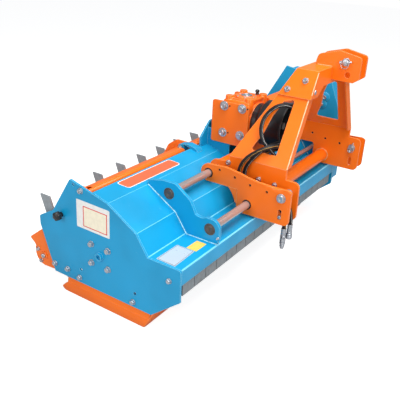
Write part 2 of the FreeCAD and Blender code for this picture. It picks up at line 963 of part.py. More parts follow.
def build_skids():
    """Runners bolted inside the side plates; the left one mirrors the right one."""
    body = new_body("skid_right")
    # side wall, jogged inwards to lie against the inner face of the side plate
    wall = [
        (0, 0),
        (d.skid_t, 0),
        (d.skid_t, d.skid_jog_low),
        (d.side_plate_t + d.skid_t, d.skid_jog_high),
        (d.side_plate_t + d.skid_t, d.skid_top),
        (d.side_plate_t, d.skid_top),
        (d.side_plate_t, d.skid_jog_high),
        (0, d.skid_jog_low),
    ]
    length = d.skid_rear - d.skid_front
    add_pad(body, "front", length, wall, away=d.skid_front)
    # the ends of the wall rise to the turned-up ends of the sole
    front_ramp = d.skid_front + 34
    rear_ramp = d.skid_rear - 50
    add_cut(body, "side", [
        (d.skid_front - 1, -1),
        (front_ramp, -1),
        (front_ramp, 0),
        (d.skid_front, d.skid_front_lift),
        (d.skid_front - 1, d.skid_front_lift),
    ])
    add_cut(body, "side", [
        (rear_ramp, -1),
        (d.skid_rear + 1, -1),
        (d.skid_rear + 1, d.skid_rear_lift),
        (d.skid_rear, d.skid_rear_lift),
        (rear_ramp, 0),
    ])
    # the flange inside the plate is shorter than the sole
    add_cut(body, "side", [
        (d.skid_front - 1, d.foot_z - 10),
        (d.skid_front + 30, d.foot_z - 10),
        (d.skid_front + 30, d.skid_top + 1),
        (d.skid_front - 1, d.skid_top + 1),
    ])
    add_cut(body, "side", [
        (d.arm_front - 6, d.foot_z - 10),
        (d.skid_rear + 1, d.foot_z - 10),
        (d.skid_rear + 1, d.skid_top + 1),
        (d.arm_front - 6, d.skid_top + 1),
    ])
    sole = [
        (d.skid_front, d.skid_front_lift),
        (front_ramp, 0),
        (rear_ramp, 0),
        (d.skid_rear, d.skid_rear_lift),
        (d.skid_rear, d.skid_rear_lift + d.skid_t + 1),
        (rear_ramp, d.skid_t),
        (front_ramp, d.skid_t),
        (d.skid_front, d.skid_front_lift + d.skid_t),
    ]
    add_pad(body, "side", d.skid_width, sole)
    place(body)
    keep(body, "skid_right")
    keep(mirrored("skid_left", body, d.body_width / 2), "skid_left")


def mirrored(label, source, middle):
    """A copy mirrored about a plane across the machine, at x = middle."""
    twin = doc.addObject("Part::Mirroring", label)
    twin.Source = source
    twin.Normal = Vector(1, 0, 0)
    bind(twin, "Base.x", middle - datum_x)
    return twin


# ---------------------------------------------------------------- rake and roller

tine_slope = (d.tine_top_y - d.tine_foot_y) / (d.tine_top_z - d.tine_foot_z)


def tine_rear_at(z):
    """y of the rear edge of the tines at a height."""
    return d.tine_foot_y + d.tine_width / 2 + tine_slope * (z - d.tine_foot_z)


def build_rake():
    """Row of leaning tines bolted to a square tube behind them."""
    half = d.tine_width / 2
    outline = [
        (d.tine_foot_y - half, d.tine_foot_z),
        (d.tine_foot_y + half, d.tine_foot_z),
        (d.tine_top_y + half, d.tine_top_z),
        (d.tine_top_y - half, d.tine_top_z),
    ]
    body = new_body("rake_tines")
    feature = add_pad(body, "side", d.tine_t, outline)
    row = body.newObject("PartDesign::LinearPattern", "rake_tines_row")
    row.Originals = [feature]
    row.Direction = (origin_feature(body, "X_Axis"), [""])
    row.Mode = "Spacing"
    bind(row, "Offset", d.tine_pitch)
    free = d.body_width - d.tine_first * 2
    row.Occurrences = int(free.value // d.tine_pitch.value) + 1
    body.Tip = row
    place(body, x=d.tine_first - d.tine_t / 2)
    keep(body, "rake_tines")

    wall = d.rake_wall
    low_y = tine_rear_at(d.rake_low)
    high_y = tine_rear_at(d.rake_high)
    tube = new_body("rake_bar")
    sketch = new_sketch(tube, "side")
    draw_outline(sketch, [
        (low_y, d.rake_low),
        (low_y + d.rake_depth, d.rake_low),
        (high_y + d.rake_depth, d.rake_high),
        (high_y, d.rake_high),
    ])
    draw_outline(sketch, [
        (tine_rear_at(d.rake_low + wall) + wall, d.rake_low + wall),
        (tine_rear_at(d.rake_low + wall) + d.rake_depth - wall, d.rake_low + wall),
        (tine_rear_at(d.rake_high - wall) + d.rake_depth - wall, d.rake_high - wall),
        (tine_rear_at(d.rake_high - wall) + wall, d.rake_high - wall),
    ])
    inset = d.side_plate_t + d.arm_t
    pad(tube, sketch, d.body_width - inset * 2)
    place(tube, x=inset)
    keep(tube, "rake_bar")


def build_roller():
    """Roller arms, the guard sheet between them, and the roller."""
    outline = [
        (d.arm_front, d.foot_z + 8),
        (d.roller_y + d.arm_disc, d.roller_z - d.arm_disc),
        (d.roller_y + d.arm_disc, d.roller_z + 28),
        (d.beak_y - 42, d.beak_z - 32),
        (d.beak_y, d.beak_z),
        (d.beak_fold_y, d.beak_fold_z),
        (d.beak_fold_y - 55, d.beak_fold_z + 14),
        (d.beak_fold_y - 90, d.beak_fold_z - 60),
        (d.arm_front, d.foot_z + 74),
    ]
    shaft_hole = [(d.roller_y, d.roller_z, d.roller_shaft + FIT)]
    disc_corner = [(d.roller_y + d.arm_disc, d.roller_z - d.arm_disc)]
    rounds = [
        (d.arm_disc - 1, disc_corner),
        (as_size(8), [(d.beak_y, d.beak_z)]),
    ]
    right = make_plate("roller_arm_right", d.side_plate_t, d.arm_t, outline, shaft_hole, rounds)
    keep(right, "roller_arm_right")
    left_x = d.body_width - d.side_plate_t - d.arm_t
    left = make_plate("roller_arm_left", left_x, d.arm_t, outline, shaft_hole, rounds)
    keep(left, "roller_arm_left")

    inset = d.side_plate_t + d.arm_t
    between = d.body_width - inset * 2
    drop = d.beak_z - 40
    guard = new_body("rear_guard")
    section = [
        (d.beak_fold_y - 55, d.beak_fold_z + 14),
        (d.beak_fold_y, d.beak_fold_z),
        (d.beak_y - 6, d.beak_z - 1),
        (d.beak_y - 24, drop),
        (d.beak_fold_y - 55, drop),
    ]
    feature = add_pad(guard, "side", between, section)
    front = d.beak_fold_y.value - 55
    low = drop.value

    def is_open(middle, normal):
        return abs(normal.x) > 0.99 or abs(middle.y - front) < 0.1 or abs(middle.z - low) < 0.1

    hollow(guard, feature, faces_where(feature, is_open), d.guard_t)
    place(guard, x=inset)
    keep(guard, "rear_guard")

    start = inset + d.roller_end_gap
    length = between - d.roller_end_gap * 2
    drum = make_bar("roller_drum", start, length, d.roller_y, d.roller_z, d.roller)
    axle_length = inner_width + 8
    axle_x = d.side_plate_t - 4
    axle = make_bar("roller_axle", axle_x, axle_length, d.roller_y, d.roller_z, d.roller_shaft)
    keep(fuse("roller", [drum, axle]), "roller")


# ---------------------------------------------------------------- side shift

slope_upper = (d.brow_z - d.knee_z) / (d.brow_y - d.knee_y)


def rod_bracket(label, x):
    """Plate welded across the folds of the hood that holds both guide rods."""
    ear = d.bracket_ear
    front_edge = d.front_rod_y - ear
    outline = [
        (front_edge + 13, d.deck_height),
        (d.deck_rear, d.deck_height),
        (d.knee_y, d.knee_z),
        (d.brow_y, d.brow_z),
        (d.brow_y - 2, d.brow_z + 22),
        (d.rear_rod_y + 31, d.rear_rod_z + ear + 4),
        (d.rear_rod_y - 30, d.rear_rod_z + ear + 5),
        (d.rear_rod_y - d.bracket_waist, d.rear_rod_z - 2),
        (d.front_rod_y + 70, d.front_rod_z + ear - 2),
        (d.front_rod_y + 44, d.front_rod_z + ear - 10),
        (d.front_rod_y + 18, d.front_rod_z + ear),
        (front_edge, d.front_rod_z + ear),
        (front_edge, d.front_rod_z - 36),
    ]
    holes = [
        (d.front_rod_y, d.front_rod_z, d.rod + SEAT_FIT),
        (d.rear_rod_y, d.rear_rod_z, d.rod + SEAT_FIT),
    ]
    rounds = [
        (ear - 5, [outline[11]]),
        (ear - 15, [outline[6], outline[7]]),
        (ear, [outline[9]]),
    ]
    keep(make_plate(label, x, d.bracket_t, outline, holes, rounds), label)


def build_side_shift():
    """Guide rods and the two brackets that carry them."""
    rod_bracket("rod_bracket_right", d.bracket_x)
    rod_bracket("rod_bracket_left", d.body_width - d.bracket_t)
    length = d.body_width - d.bracket_x
    for label, y, z in (
        ("guide_rod_front", d.front_rod_y, d.front_rod_z),
        ("guide_rod_rear", d.rear_rod_y, d.rear_rod_z),
    ):
        keep(make_bar(label, d.bracket_x, length, y, z, d.rod), label)


# ---------------------------------------------------------------- headstock

inner_face = d.hitch_middle - d.hitch_inner
far_inner_face = d.hitch_middle + d.hitch_inner


def hitch_plate(label, x, raised):
    """Clevis plate on both guide rods; the inner ones carry the mast legs."""
    ear_low = d.rear_rod_z - d.rear_ear
    ear_rear = d.rear_rod_y + d.rear_ear
    ear_top = d.rear_rod_z + d.rear_ear
    arch = [
        (d.hitch_front, d.hitch_low),
        (d.window_front - 26, d.hitch_low),
        (d.window_front, d.hitch_low + 26),
        (d.window_front, d.window_top),
        (d.rear_rod_y - 28, d.window_top),
        (d.rear_rod_y, ear_low),
        (ear_rear, ear_low),
        (ear_rear, ear_top),
    ]
    if raised:
        top = [
            (d.leg_rear_low, ear_top + 8),
            (d.leg_rear_low, d.leg_foot_z),
            (d.leg_front, d.leg_foot_z),
            (d.leg_front, d.hitch_top + 2),
        ]
    else:
        top = [(d.leg_rear_low - 23, ear_top + 8)]
    outline = arch + top + [(d.hitch_front, d.hitch_top)]
    holes = [
        (d.front_rod_y, d.front_rod_z, d.rod + LOOSE_FIT),
        (d.rear_rod_y, d.rear_rod_z, d.rod + LOOSE_FIT),
        (d.lower_pin_y, d.lower_pin_z, d.lower_pin + SEAT_FIT),
    ]
    holes += [
        (d.hole_rear_y, d.hole_rear_z, d.hitch_hole),
        (d.hole_second_y, d.hole_second_z, d.hitch_hole),
        (d.hole_third_y, d.hole_third_z, d.hitch_hole),
        (d.hole_front_y, d.hole_front_z, d.hitch_hole),
    ]
    rounds = [
        (as_size(25), [(d.hitch_front, d.hitch_low), (d.hitch_front, d.hitch_top)]),
        (as_size(15), [(d.window_front, d.window_top)]),
        (d.rear_ear - 1, [(ear_rear, ear_low), (ear_rear, ear_top)]),
    ]
    slots = [(d.slot_y, d.slot_low, d.slot_high, d.slot)]
    keep(make_plate(label, x, d.hitch_plate_t, outline, holes, rounds, slots), label)


def build_hitch_plates():
    hitch_plate("hitch_plate_right_inner", inner_face - d.hitch_plate_t, True)
    outer = inner_face - d.hitch_plate_t * 2 - d.hitch_gap
    hitch_plate("hitch_plate_right_outer", outer, False)
    hitch_plate("hitch_plate_left_inner", far_inner_face, True)
    far_outer = far_inner_face + d.hitch_plate_t + d.hitch_gap
    hitch_plate("hitch_plate_left_outer", far_outer, False)
    span = d.hitch_inner * 2
    front = make_bar(
        "sleeve_front", inner_face, span, d.front_rod_y, d.front_rod_z,
        d.front_sleeve, d.rod + SLIDE_FIT,
    )
    keep(front, "sleeve_front")
    rear = make_bar(
        "sleeve_rear", inner_face, span, d.rear_rod_y, d.rear_rod_z,
        d.rear_sleeve, d.rod + SLIDE_FIT,
    )
    keep(rear, "sleeve_rear")
    pin_length = d.hitch_gap + d.hitch_plate_t * 2 + d.lower_pin_over * 2
    for label, x in (
        ("lower_pin_right", outer - d.lower_pin_over),
        ("lower_pin_left", far_inner_face - d.lower_pin_over),
    ):
        keep(make_bar(label, x, pin_length, d.lower_pin_y, d.lower_pin_z, d.lower_pin), label)


leg_rise = d.leg_top_z - d.leg_foot_z
leg_outer_foot = inner_face - d.hitch_plate_t
leg_outer_top = d.hitch_middle - d.leg_top_half
leg_run = leg_outer_top - leg_outer_foot
leg_lean = leg_run / leg_rise


def leg_x(z):
    """x of the outer face of the right leg at a height."""
    return leg_outer_foot + leg_lean * (z - d.leg_foot_z)


def leg_rear(z):
    """y of the rear edge of the legs at a height."""
    return d.leg_rear_low + (d.leg_rear_top - d.leg_rear_low) / leg_rise * (z - d.leg_foot_z)


def build_mast():
    """Two leaning legs, the cap that joins them and the top link bracket."""
    body = new_body("mast_leg_right")
    wide = d.leg_t * 1.13
    sheet_section = [
        (leg_x(d.leg_foot_z), d.leg_foot_z),
        (leg_x(d.leg_foot_z) + wide, d.leg_foot_z),
        (leg_x(d.leg_top_z) + wide, d.leg_top_z),
        (leg_x(d.leg_top_z), d.leg_top_z),
    ]
    depth = d.leg_rear_low - d.leg_front
    add_pad(body, "front", depth, sheet_section, away=d.leg_front)
    flange_section = [
        (leg_x(d.leg_foot_z), d.leg_foot_z),
        (leg_x(d.leg_foot_z) + d.leg_flange, d.leg_foot_z),
        (leg_x(d.leg_top_z) + d.leg_flange, d.leg_top_z),
        (leg_x(d.leg_top_z), d.leg_top_z),
    ]
    add_pad(body, "front", d.leg_t, flange_section, away=d.leg_front)
    # the rear edge runs forwards to the top, and a window lightens the plate
    add_cut(body, "side", [
        (d.leg_rear_low, d.leg_foot_z),
        (d.leg_rear_low + 1, d.leg_foot_z),
        (d.leg_rear_low + 1, d.leg_top_z + 1),
        (d.leg_rear_top, d.leg_top_z + 1),
        (d.leg_rear_top, d.leg_top_z),
    ])
    foot = d.leg_foot_z
    window = [
        (d.window_foot_front_y, foot + d.window_foot_front_rise),
        (d.window_foot_rear_y, foot + d.window_foot_rear_rise),
        (d.window_waist_y, foot + d.window_waist_rise),
        (d.window_neck_y, foot + d.window_neck_rise),
        (d.window_head_rear_y, foot + d.window_head_rear_rise),
        (d.window_head_front_y, foot + d.window_head_front_rise),
    ]
    opened = add_cut(body, "side", window)
    round_edges(body, opened, "side", [window[0], window[1], window[5]], d.window_round)
    round_edges(body, body.Tip, "side", [window[3], window[4]], d.window_round * 2)
    place(body)
    keep(body, "mast_leg_right")
    keep(mirrored("mast_leg_left", body, d.hitch_middle), "mast_leg_left")

    cap = new_body("mast_cap")
    t = d.cap_t * 1.13
    left = d.hitch_middle * 2
    low = d.cap_low_z
    top = d.leg_top_z
    bridge = [
        (leg_x(low) - t, low),
        (leg_x(low), low),
        (leg_x(top), top),
        (left - leg_x(top), top),
        (left - leg_x(low), low),
        (left - leg_x(low) + t, low),
        (left - leg_x(top) + t / 2, top + d.cap_t),
        (leg_x(top) - t / 2, top + d.cap_t),
    ]
    add_pad(cap, "front", leg_rear(low) - d.cap_front, bridge, away=d.cap_front)
    drop = d.cap_wall_drop
    front_wall = [
        (leg_x(low) - t, low),
        (leg_x(low) + drop, low),
        (leg_x(top) + drop, top - drop),
        (left - leg_x(top) - drop, top - drop),
        (left - leg_x(low) - drop, low),
        (left - leg_x(low) + t, low),
        (left - leg_x(top) + t / 2, top + d.cap_t),
        (leg_x(top) - t / 2, top + d.cap_t),
    ]
    add_pad(cap, "front", d.cap_t, front_wall, away=d.cap_front)
    add_cut(cap, "side", [
        (leg_rear(low), low),
        (leg_rear(low) + 1, low),
        (leg_rear(low) + 1, top + d.cap_t + 1),
        (d.leg_rear_top, top + d.cap_t + 1),
        (d.leg_rear_top, top + d.cap_t),
    ])
    place(cap)
    keep(cap, "mast_cap")

    seat = top + d.cap_t
    side_outline = [
        (d.leg_rear_top - 23, seat),
        (d.leg_rear_top - 23, seat + 17),
        (d.leg_rear_top - 31, seat + 47),
        (d.top_plate_front + 98, d.top_plate_peak),
        (d.top_plate_front, d.top_plate_peak - 20),
        (d.top_plate_front, d.top_plate_low + 18),
        (d.top_plate_front + 26, d.top_plate_low),
        (d.cap_front, d.top_plate_low + 4),
        (d.cap_front, seat),
    ]
    holes = [
        (d.top_pin_y, d.top_pin_z, d.top_pin + SEAT_FIT),
        (d.top_hole_y, d.top_hole_z, d.top_pin + FIT),
    ]
    rounds = [
        (as_size(16), [(d.top_plate_front, d.top_plate_peak - 20)]),
        (as_size(10), [(d.top_plate_front, d.top_plate_low + 18)]),
        (as_size(24), [(d.leg_rear_top - 31, seat + 47)]),
        (as_size(40), [(d.top_plate_front + 98, d.top_plate_peak)]),
    ]
    right_x = d.hitch_middle - d.top_plate_half
    left_x = d.hitch_middle + d.top_plate_half - d.top_plate_t
    cheek_right = make_plate("top_cheek_right", right_x, d.top_plate_t, side_outline, holes, rounds)
    cheek_left = make_plate("top_cheek_left", left_x, d.top_plate_t, side_outline, holes, rounds)
    web_outline = [
        (d.leg_rear_top - 31, seat),
        (d.leg_rear_top - 39, seat + 40),
        (d.leg_rear_top - 47, seat + 40),
        (d.leg_rear_top - 39, seat),
    ]
    web_x = right_x + d.top_plate_t - 1
    web_length = (d.top_plate_half - d.top_plate_t + 1) * 2
    web = make_plate("top_web", web_x, web_length, web_outline)
    keep(fuse("top_link_bracket", [cheek_right, cheek_left, web]), "top_link_bracket")
    pin_x = right_x - d.top_pin_over
    pin_length = (d.top_plate_half + d.top_pin_over) * 2
    pin = make_bar("top_link_pin", pin_x, pin_length, d.top_pin_y, d.top_pin_z, d.top_pin)
    keep(pin, "top_link_pin")


def build_cylinder():
    """Side shift cylinder: barrel on the headstock, rod fixed to the far bracket."""
    y = d.cylinder_y
    z = d.cylinder_z
    lug = make_plate(
        "cylinder_lug", inner_face, d.cylinder_lug_t,
        [
            (y - 30, z - 30),
            (y + 30, z - 30),
            (y + 30, d.window_top + 40),
            (y - 30, d.window_top + 40),
        ],
        rounds=[(as_size(12), [(y - 30, z - 30), (y + 30, z - 30)])],
    )
    keep(lug, "cylinder_lug")
    barrel = new_body("cylinder_tube")
    length = d.cylinder_length
    outer = (y, z, d.cylinder)
    add_pad(barrel, "side", d.cylinder_base, circles=[outer])
    tube_length = length - d.cylinder_base - d.cylinder_gland
    tube_circles = [outer, (y, z, d.cylinder_bore + FIT)]
    add_pad(barrel, "side", tube_length, circles=tube_circles, away=d.cylinder_base)
    gland_circles = [outer, (y, z, d.cylinder_rod + FIT)]
    add_pad(
        barrel, "side", d.cylinder_gland, circles=gland_circles, away=length - d.cylinder_gland
    )
    barrel_x = inner_face + d.cylinder_lug_t
    place(barrel, x=barrel_x)
    # ports that the hoses leave from, the far one through a banjo fitting
    far_port_x = barrel_x + length - d.port_inset
    banjo_z = z + d.cylinder + d.port_rise + d.hose + 1.5
    pieces = [barrel]
    for port_x, port_top in (
        (barrel_x + d.port_inset, z + d.cylinder + d.port_rise),
        (far_port_x, banjo_z + d.hose + 1.5),
    ):
        port = doc.addObject("Part::Cylinder", "cylinder_port")
        bind(port, "Radius", d.port)
        bind(port, "Height", port_top - z - d.cylinder_bore - 2)
        place(port, x=port_x, y=y, z=z + d.cylinder_bore + 2)
        pieces.append(port)
    banjo = make_bar("cylinder_banjo", far_port_x - 28, as_size(28), y, banjo_z, d.hose + 1)
    pieces.append(banjo)
    keep(fuse("cylinder_with_ports", pieces), "cylinder_barrel")
    rod_end = d.body_width - d.bracket_t
    rod = make_bar("cylinder_rod_bar", d.piston_x, rod_end - d.piston_x, y, z, d.cylinder_rod)
    piston = make_bar("cylinder_piston", d.piston_x, d.piston_t, y, z, d.cylinder_bore)
    keep(fuse("cylinder_rod", [rod, piston]), "cylinder_rod")


def make_hose(label, points):
    """A hose along straight runs joined by tangent arcs."""
    corners = [Vector(*point) for point in points]
    edges = []
    start = corners[0]
    for before, here, after in zip(corners, corners[1:], corners[2:]):
        back = before - here
        ahead = after - here
        half_turn = (math.pi - back.getAngle(ahead)) / 2
        reach = 0.45 * min(back.Length, ahead.Length)
        bend = reach / math.tan(half_turn)
        back.normalize()
        ahead.normalize()
        inward = (back + ahead).normalize()
        middle = here + inward * (math.hypot(reach, bend) - bend)
        arc_start = here + back * reach
        arc_end = here + ahead * reach
        edges.append(Part.makeLine(start, arc_start))
        edges.append(Part.Arc(arc_start, middle, arc_end).toShape())
        start = arc_end
        print(f"{label}: bend of {bend:.0f} mm")
    edges.append(Part.makeLine(start, corners[-1]))
    spine = Part.Wire(edges)
    along = corners[1] - corners[0]
    ring = Part.Wire([Part.makeCircle(d.hose.value, corners[0], along)])
    hose = doc.addObject("Part::Feature", label)
    hose.Shape = spine.makePipeShell([ring], True, False)
    print(f"{label}: {spine.Length:.0f} mm long")
    place(hose)
    keep(hose, label)


def build_hoses():
    """Two hoses from the cylinder, out through the right leg and into the clevis."""
    make_hose("hose_near", HOSE_NEAR)
    make_hose("hose_far", HOSE_FAR)
    for label, route in (("coupling_near", HOSE_NEAR), ("coupling_far", HOSE_FAR)):
        x, y, z = route[-1]
        body = new_body(label)
        sketch = new_sketch(body, "front")
        sizes = [
            (as_size(0), as_size(0)),
            (d.hose + 1.5, as_size(0)),
            (d.hose + 1.5, as_size(-26)),
            (d.coupling, as_size(-30)),
            (d.coupling, as_size(-46)),
            (d.coupling - 3, as_size(-48)),
            (d.coupling - 3, as_size(-70)),
            (d.coupling, as_size(-72)),
            (d.coupling, as_size(-88)),
            (d.coupling - 4, as_size(-98)),
            (as_size(0), as_size(-98)),
        ]
        draw_outline(sketch, sizes)
        turned = body.newObject("PartDesign::Revolution", f"{label}_turned")
        turned.Profile = sketch
        turned.ReferenceAxis = (sketch, ["V_Axis"])
        turned.Angle = 360
        place(body, x=x, y=y, z=z)
        keep(body, label)


# ---------------------------------------------------------------- drive


def build_gearbox():
    """Bevel gearbox between two bolted plates, on a cradle welded to the hood."""
    near = d.gearbox_x - d.gear_plate_half + d.gear_plate_t
    # housing: a box with a round top cap and round bosses for both shafts
    inner = d.gear_plate_half - d.gear_plate_t - d.cradle_t
    housing_x = d.gearbox_x - inner
    top_z = d.gear_top + d.gear_head
    box_outline = [
        (d.gear_front + 18, d.gear_low + 8),
        (d.gear_rear - 8, d.gear_low + 8),
        (d.gear_rear - 8, top_z),
        (d.gear_front + 18, top_z),
    ]
    box = make_plate(
        "gearbox_box", housing_x, inner * 2, box_outline,
        rounds=[(as_size(8), [box_outline[2], box_outline[3]])],
    )
    flange = doc.addObject("Part::Cylinder", "gearbox_flange")
    bind(flange, "Radius", inner + 1)
    bind(flange, "Height", as_size(26))
    flange.Placement.Rotation = Rotation(Vector(1, 0, 0), -90)
    place(flange, x=d.gearbox_x, y=d.gear_front, z=d.shaft_z)
    lid = doc.addObject("Part::Cylinder", "gearbox_lid")
    bind(lid, "Radius", as_size(42))
    bind(lid, "Height", as_size(12))
    lid_y = (d.gear_front + d.gear_rear) / 2 + 5
    place(lid, x=d.gearbox_x, y=lid_y, z=top_z)
    # four bolt lugs stand at the corners of the top
    block = [box, flange, lid]
    lug = d.gear_lug
    for corner_x in (housing_x + lug, d.gearbox_x + inner - lug):
        for corner_y in (d.gear_front + 18 + lug, d.gear_rear - 8 - lug):
            boss = doc.addObject("Part::Cylinder", "gearbox_lug")
            bind(boss, "Radius", lug - 0.5)
            bind(boss, "Height", as_size(40))
            place(boss, x=corner_x, y=corner_y, z=top_z - 20)
            block.append(boss)
    bore = doc.addObject("Part::Cylinder", "gearbox_bore")
    bind(bore, "Radius", d.pto_journal + FIT)
    bind(bore, "Height", as_size(80))
    bore.Placement.Rotation = Rotation(Vector(1, 0, 0), -90)
    place(bore, x=d.gearbox_x, y=d.gear_front - 10, z=d.shaft_z)
    solid = fuse("gearbox_block", block)
    housing = doc.addObject("Part::Cut", "gearbox_housing")
    housing.Base = solid
    housing.Tool = bore
    keep(housing, "gearbox_housing")
    # bolted side plates
    outline = [
        (d.gear_front, d.gear_low),
        (d.gear_rear, d.gear_low),
        (d.gear_rear, d.gear_top),
        (d.gear_front, d.gear_top),
    ]
    rounds = [(as_size(10), outline)]
    right = make_plate("gearbox_plate_right", near - d.gear_plate_t, d.gear_plate_t, outline,
                       rounds=rounds)
    keep(right, "gearbox_plate_right")
    far = d.gearbox_x + d.gear_plate_half - d.gear_plate_t
    left = make_plate("gearbox_plate_left", far, d.gear_plate_t, outline, rounds=rounds)
    keep(left, "gearbox_plate_left")
    # cradle: two upright plates on the hood and a rear plate across them
    hood_slope = (d.hood_rear_z - d.brow_z) / (d.hood_rear_y - d.brow_y)
    cradle_rear_z = d.brow_z + hood_slope * (d.cradle_rear - d.brow_y)
    cradle_front_z = d.brow_z + slope_upper * (d.cradle_front - d.brow_y)
    cheek_outline = [
        (d.cradle_front, cradle_front_z),
        (d.brow_y, d.brow_z),
        (d.cradle_rear, cradle_rear_z),
        (d.cradle_rear, d.cradle_top),
        (d.gear_front + 5, d.cradle_top),
        (d.gear_front + 5, d.gear_low),
        (d.cradle_front, d.gear_low),
    ]
    cheek_right = make_plate("cradle_cheek_right", near, d.cradle_t, cheek_outline)
    cheek_left = make_plate("cradle_cheek_left", far - d.cradle_t, d.cradle_t, cheek_outline)
    back = new_body("cradle_back")
    mid = d.gearbox_x
    half = d.cradle_half
    foot = cradle_rear_z + hood_slope * d.cradle_t
    add_pad(back, "front", d.cradle_t, [
        (mid - half, foot),
        (mid + half, foot),
        (mid + half, d.cradle_shoulder),
        (mid + half / 2, d.cradle_top + 30),
        (mid - half / 2, d.cradle_top + 30),
        (mid - half, d.cradle_shoulder),
    ], away=d.cradle_rear)
    place(back)
    keep(fuse("gearbox_cradle", [cheek_right, cheek_left, back]), "gearbox_cradle")
    # cover tube of the cross shaft
    tube_x = far + d.gear_plate_t
    tube = make_bar(
        "shaft_cover_tube", tube_x, d.body_width - tube_x, d.cover_tube_y, d.shaft_z,
        d.cover_tube, d.cover_tube - 4,
    )
    keep(tube, "shaft_cover_tube")


def build_pto():
    """Input shaft and the bell-shaped guard round it."""
    # input shaft: the stub that the drive shaft slides on, then its journal
    stub_end = d.pto_front + d.pto_stub
    journal_end = d.gear_front + d.journal_depth
    shaft = new_body("pto_shaft")
    profile = new_sketch(shaft, "plan")
    draw_outline(profile, [
        (as_size(0), d.pto_front),
        (d.pto_shaft - 2, d.pto_front),
        (d.pto_shaft, d.pto_front + 2),
        (d.pto_shaft, stub_end),
        (d.pto_journal, stub_end),
        (d.pto_journal, journal_end),
        (as_size(0), journal_end),
    ])
    turned_shaft = shaft.newObject("PartDesign::Revolution", "pto_shaft_turned")
    turned_shaft.Profile = profile
    turned_shaft.ReferenceAxis = (profile, ["V_Axis"])
    turned_shaft.Angle = 360
    place(shaft, x=d.gearbox_x, z=d.shaft_z)
    keep(shaft, "pto_shaft")
    # guard: turned about the input shaft's axis
    body = new_body("pto_guard")
    sketch = new_sketch(body, "plan")
    t = d.bell_t
    draw_outline(sketch, [
        (d.bell_neck - 26, d.gear_front),
        (d.bell_neck - 26, d.gear_front - t),
        (d.bell_neck - t, d.gear_front - t),
        (d.bell_neck - t, d.gear_front - 26),
        (d.bell - t - 4, d.gear_front - 48),
        (d.bell - t, d.bell_front),
        (d.bell, d.bell_front),
        (d.bell - 4, d.gear_front - 45),
        (d.bell_neck, d.gear_front - 23),
        (d.bell_neck, d.gear_front),
    ])
    turned = body.newObject("PartDesign::Revolution", "pto_guard_turned")
    turned.Profile = sketch
    turned.ReferenceAxis = (sketch, ["V_Axis"])
    turned.Angle = 360
    place(body, x=d.gearbox_x, z=d.shaft_z)
    keep(body, "pto_guard")


def build_belt_guard():
    """Belt guard outside the left side plate: back plate and box cover."""
    front = as_size(0)
    outline = [
        (d.guard_peak_y, d.guard_peak_z),
        (d.guard_head_y, d.guard_head_z),
        (d.guard_brow_y, d.guard_brow_z),
        (front, d.guard_front_z),
        (front, d.guard_chin_z),
        (d.guard_low_y, d.guard_low_z),
        (d.guard_low_rear_y, d.guard_low_z),
        (d.guard_heel_y, d.guard_heel_z),
        (d.guard_low_rear_y, d.guard_waist_z),
        (d.guard_neck_y, d.guard_neck_z),
    ]
    plate = make_plate("belt_guard_plate", d.body_width, d.guard_plate_t, outline)
    keep(plate, "belt_guard_plate")
    rim = d.guard_rim
    cover_outline = [
        (d.guard_peak_y - 7 - rim / 2, d.guard_peak_z - rim * 1.2),
        (d.guard_head_y + rim * 0.7, d.guard_head_z - rim * 0.9),
        (d.guard_brow_y + rim, d.guard_brow_z - rim * 0.2),
        (front + rim, d.guard_front_z),
        (front + rim, d.guard_chin_z + rim * 0.6),
        (d.guard_low_y, d.guard_low_z + rim),
        (d.guard_low_rear_y - rim * 0.5, d.guard_low_z + rim),
        (d.guard_heel_y - rim, d.guard_heel_z + rim * 0.3),
        (d.guard_low_rear_y - rim, d.guard_waist_z),
        (d.guard_neck_y - rim, d.guard_neck_z - rim * 0.3),
    ]
    cover_x = d.body_width + d.guard_plate_t
    depth = d.guard_depth - d.guard_plate_t
    cover = make_plate("belt_cover", cover_x, depth, cover_outline)
    keep(cover, "belt_cover")


# ---------------------------------------------------------------- build, check, write


def check_document():
    """Stop on any failed object or empty shape."""
    doc.recompute()
    for item in doc.Objects:
        if "Invalid" in item.State or "Error" in item.State:
            raise RuntimeError(f"{item.Name}: {item.State}")
    for node in nodes:
        if node.Shape.isNull() or not node.Shape.isValid():
            raise RuntimeError(f"{node.Label}: bad shape")
        if not node.Shape.Solids:
            raise RuntimeError(f"{node.Label}: no solid")


def write_parts():
    os.makedirs("parts", exist_ok=True)
    for node in nodes:
        node.Shape.exportStep(f"parts/{node.Label}.step")


build_side_plates()
build_hood()
build_flaps()
build_rear_hood()
build_hood_hinge()
build_knob()
build_rotor()
build_bearings()
build_skids()
build_rake()
build_roller()
build_side_shift()
build_hitch_plates()
build_mast()
build_cylinder()
build_hoses()
build_gearbox()
build_pto()
build_belt_guard()
check_document()
write_parts()
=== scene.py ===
# Tractor mulcher: looks, fastenings, labels, hoses, camera and light over the CAD frame.
import json
import math

import bmesh
import bpy
from mathutils import Matrix, Vector

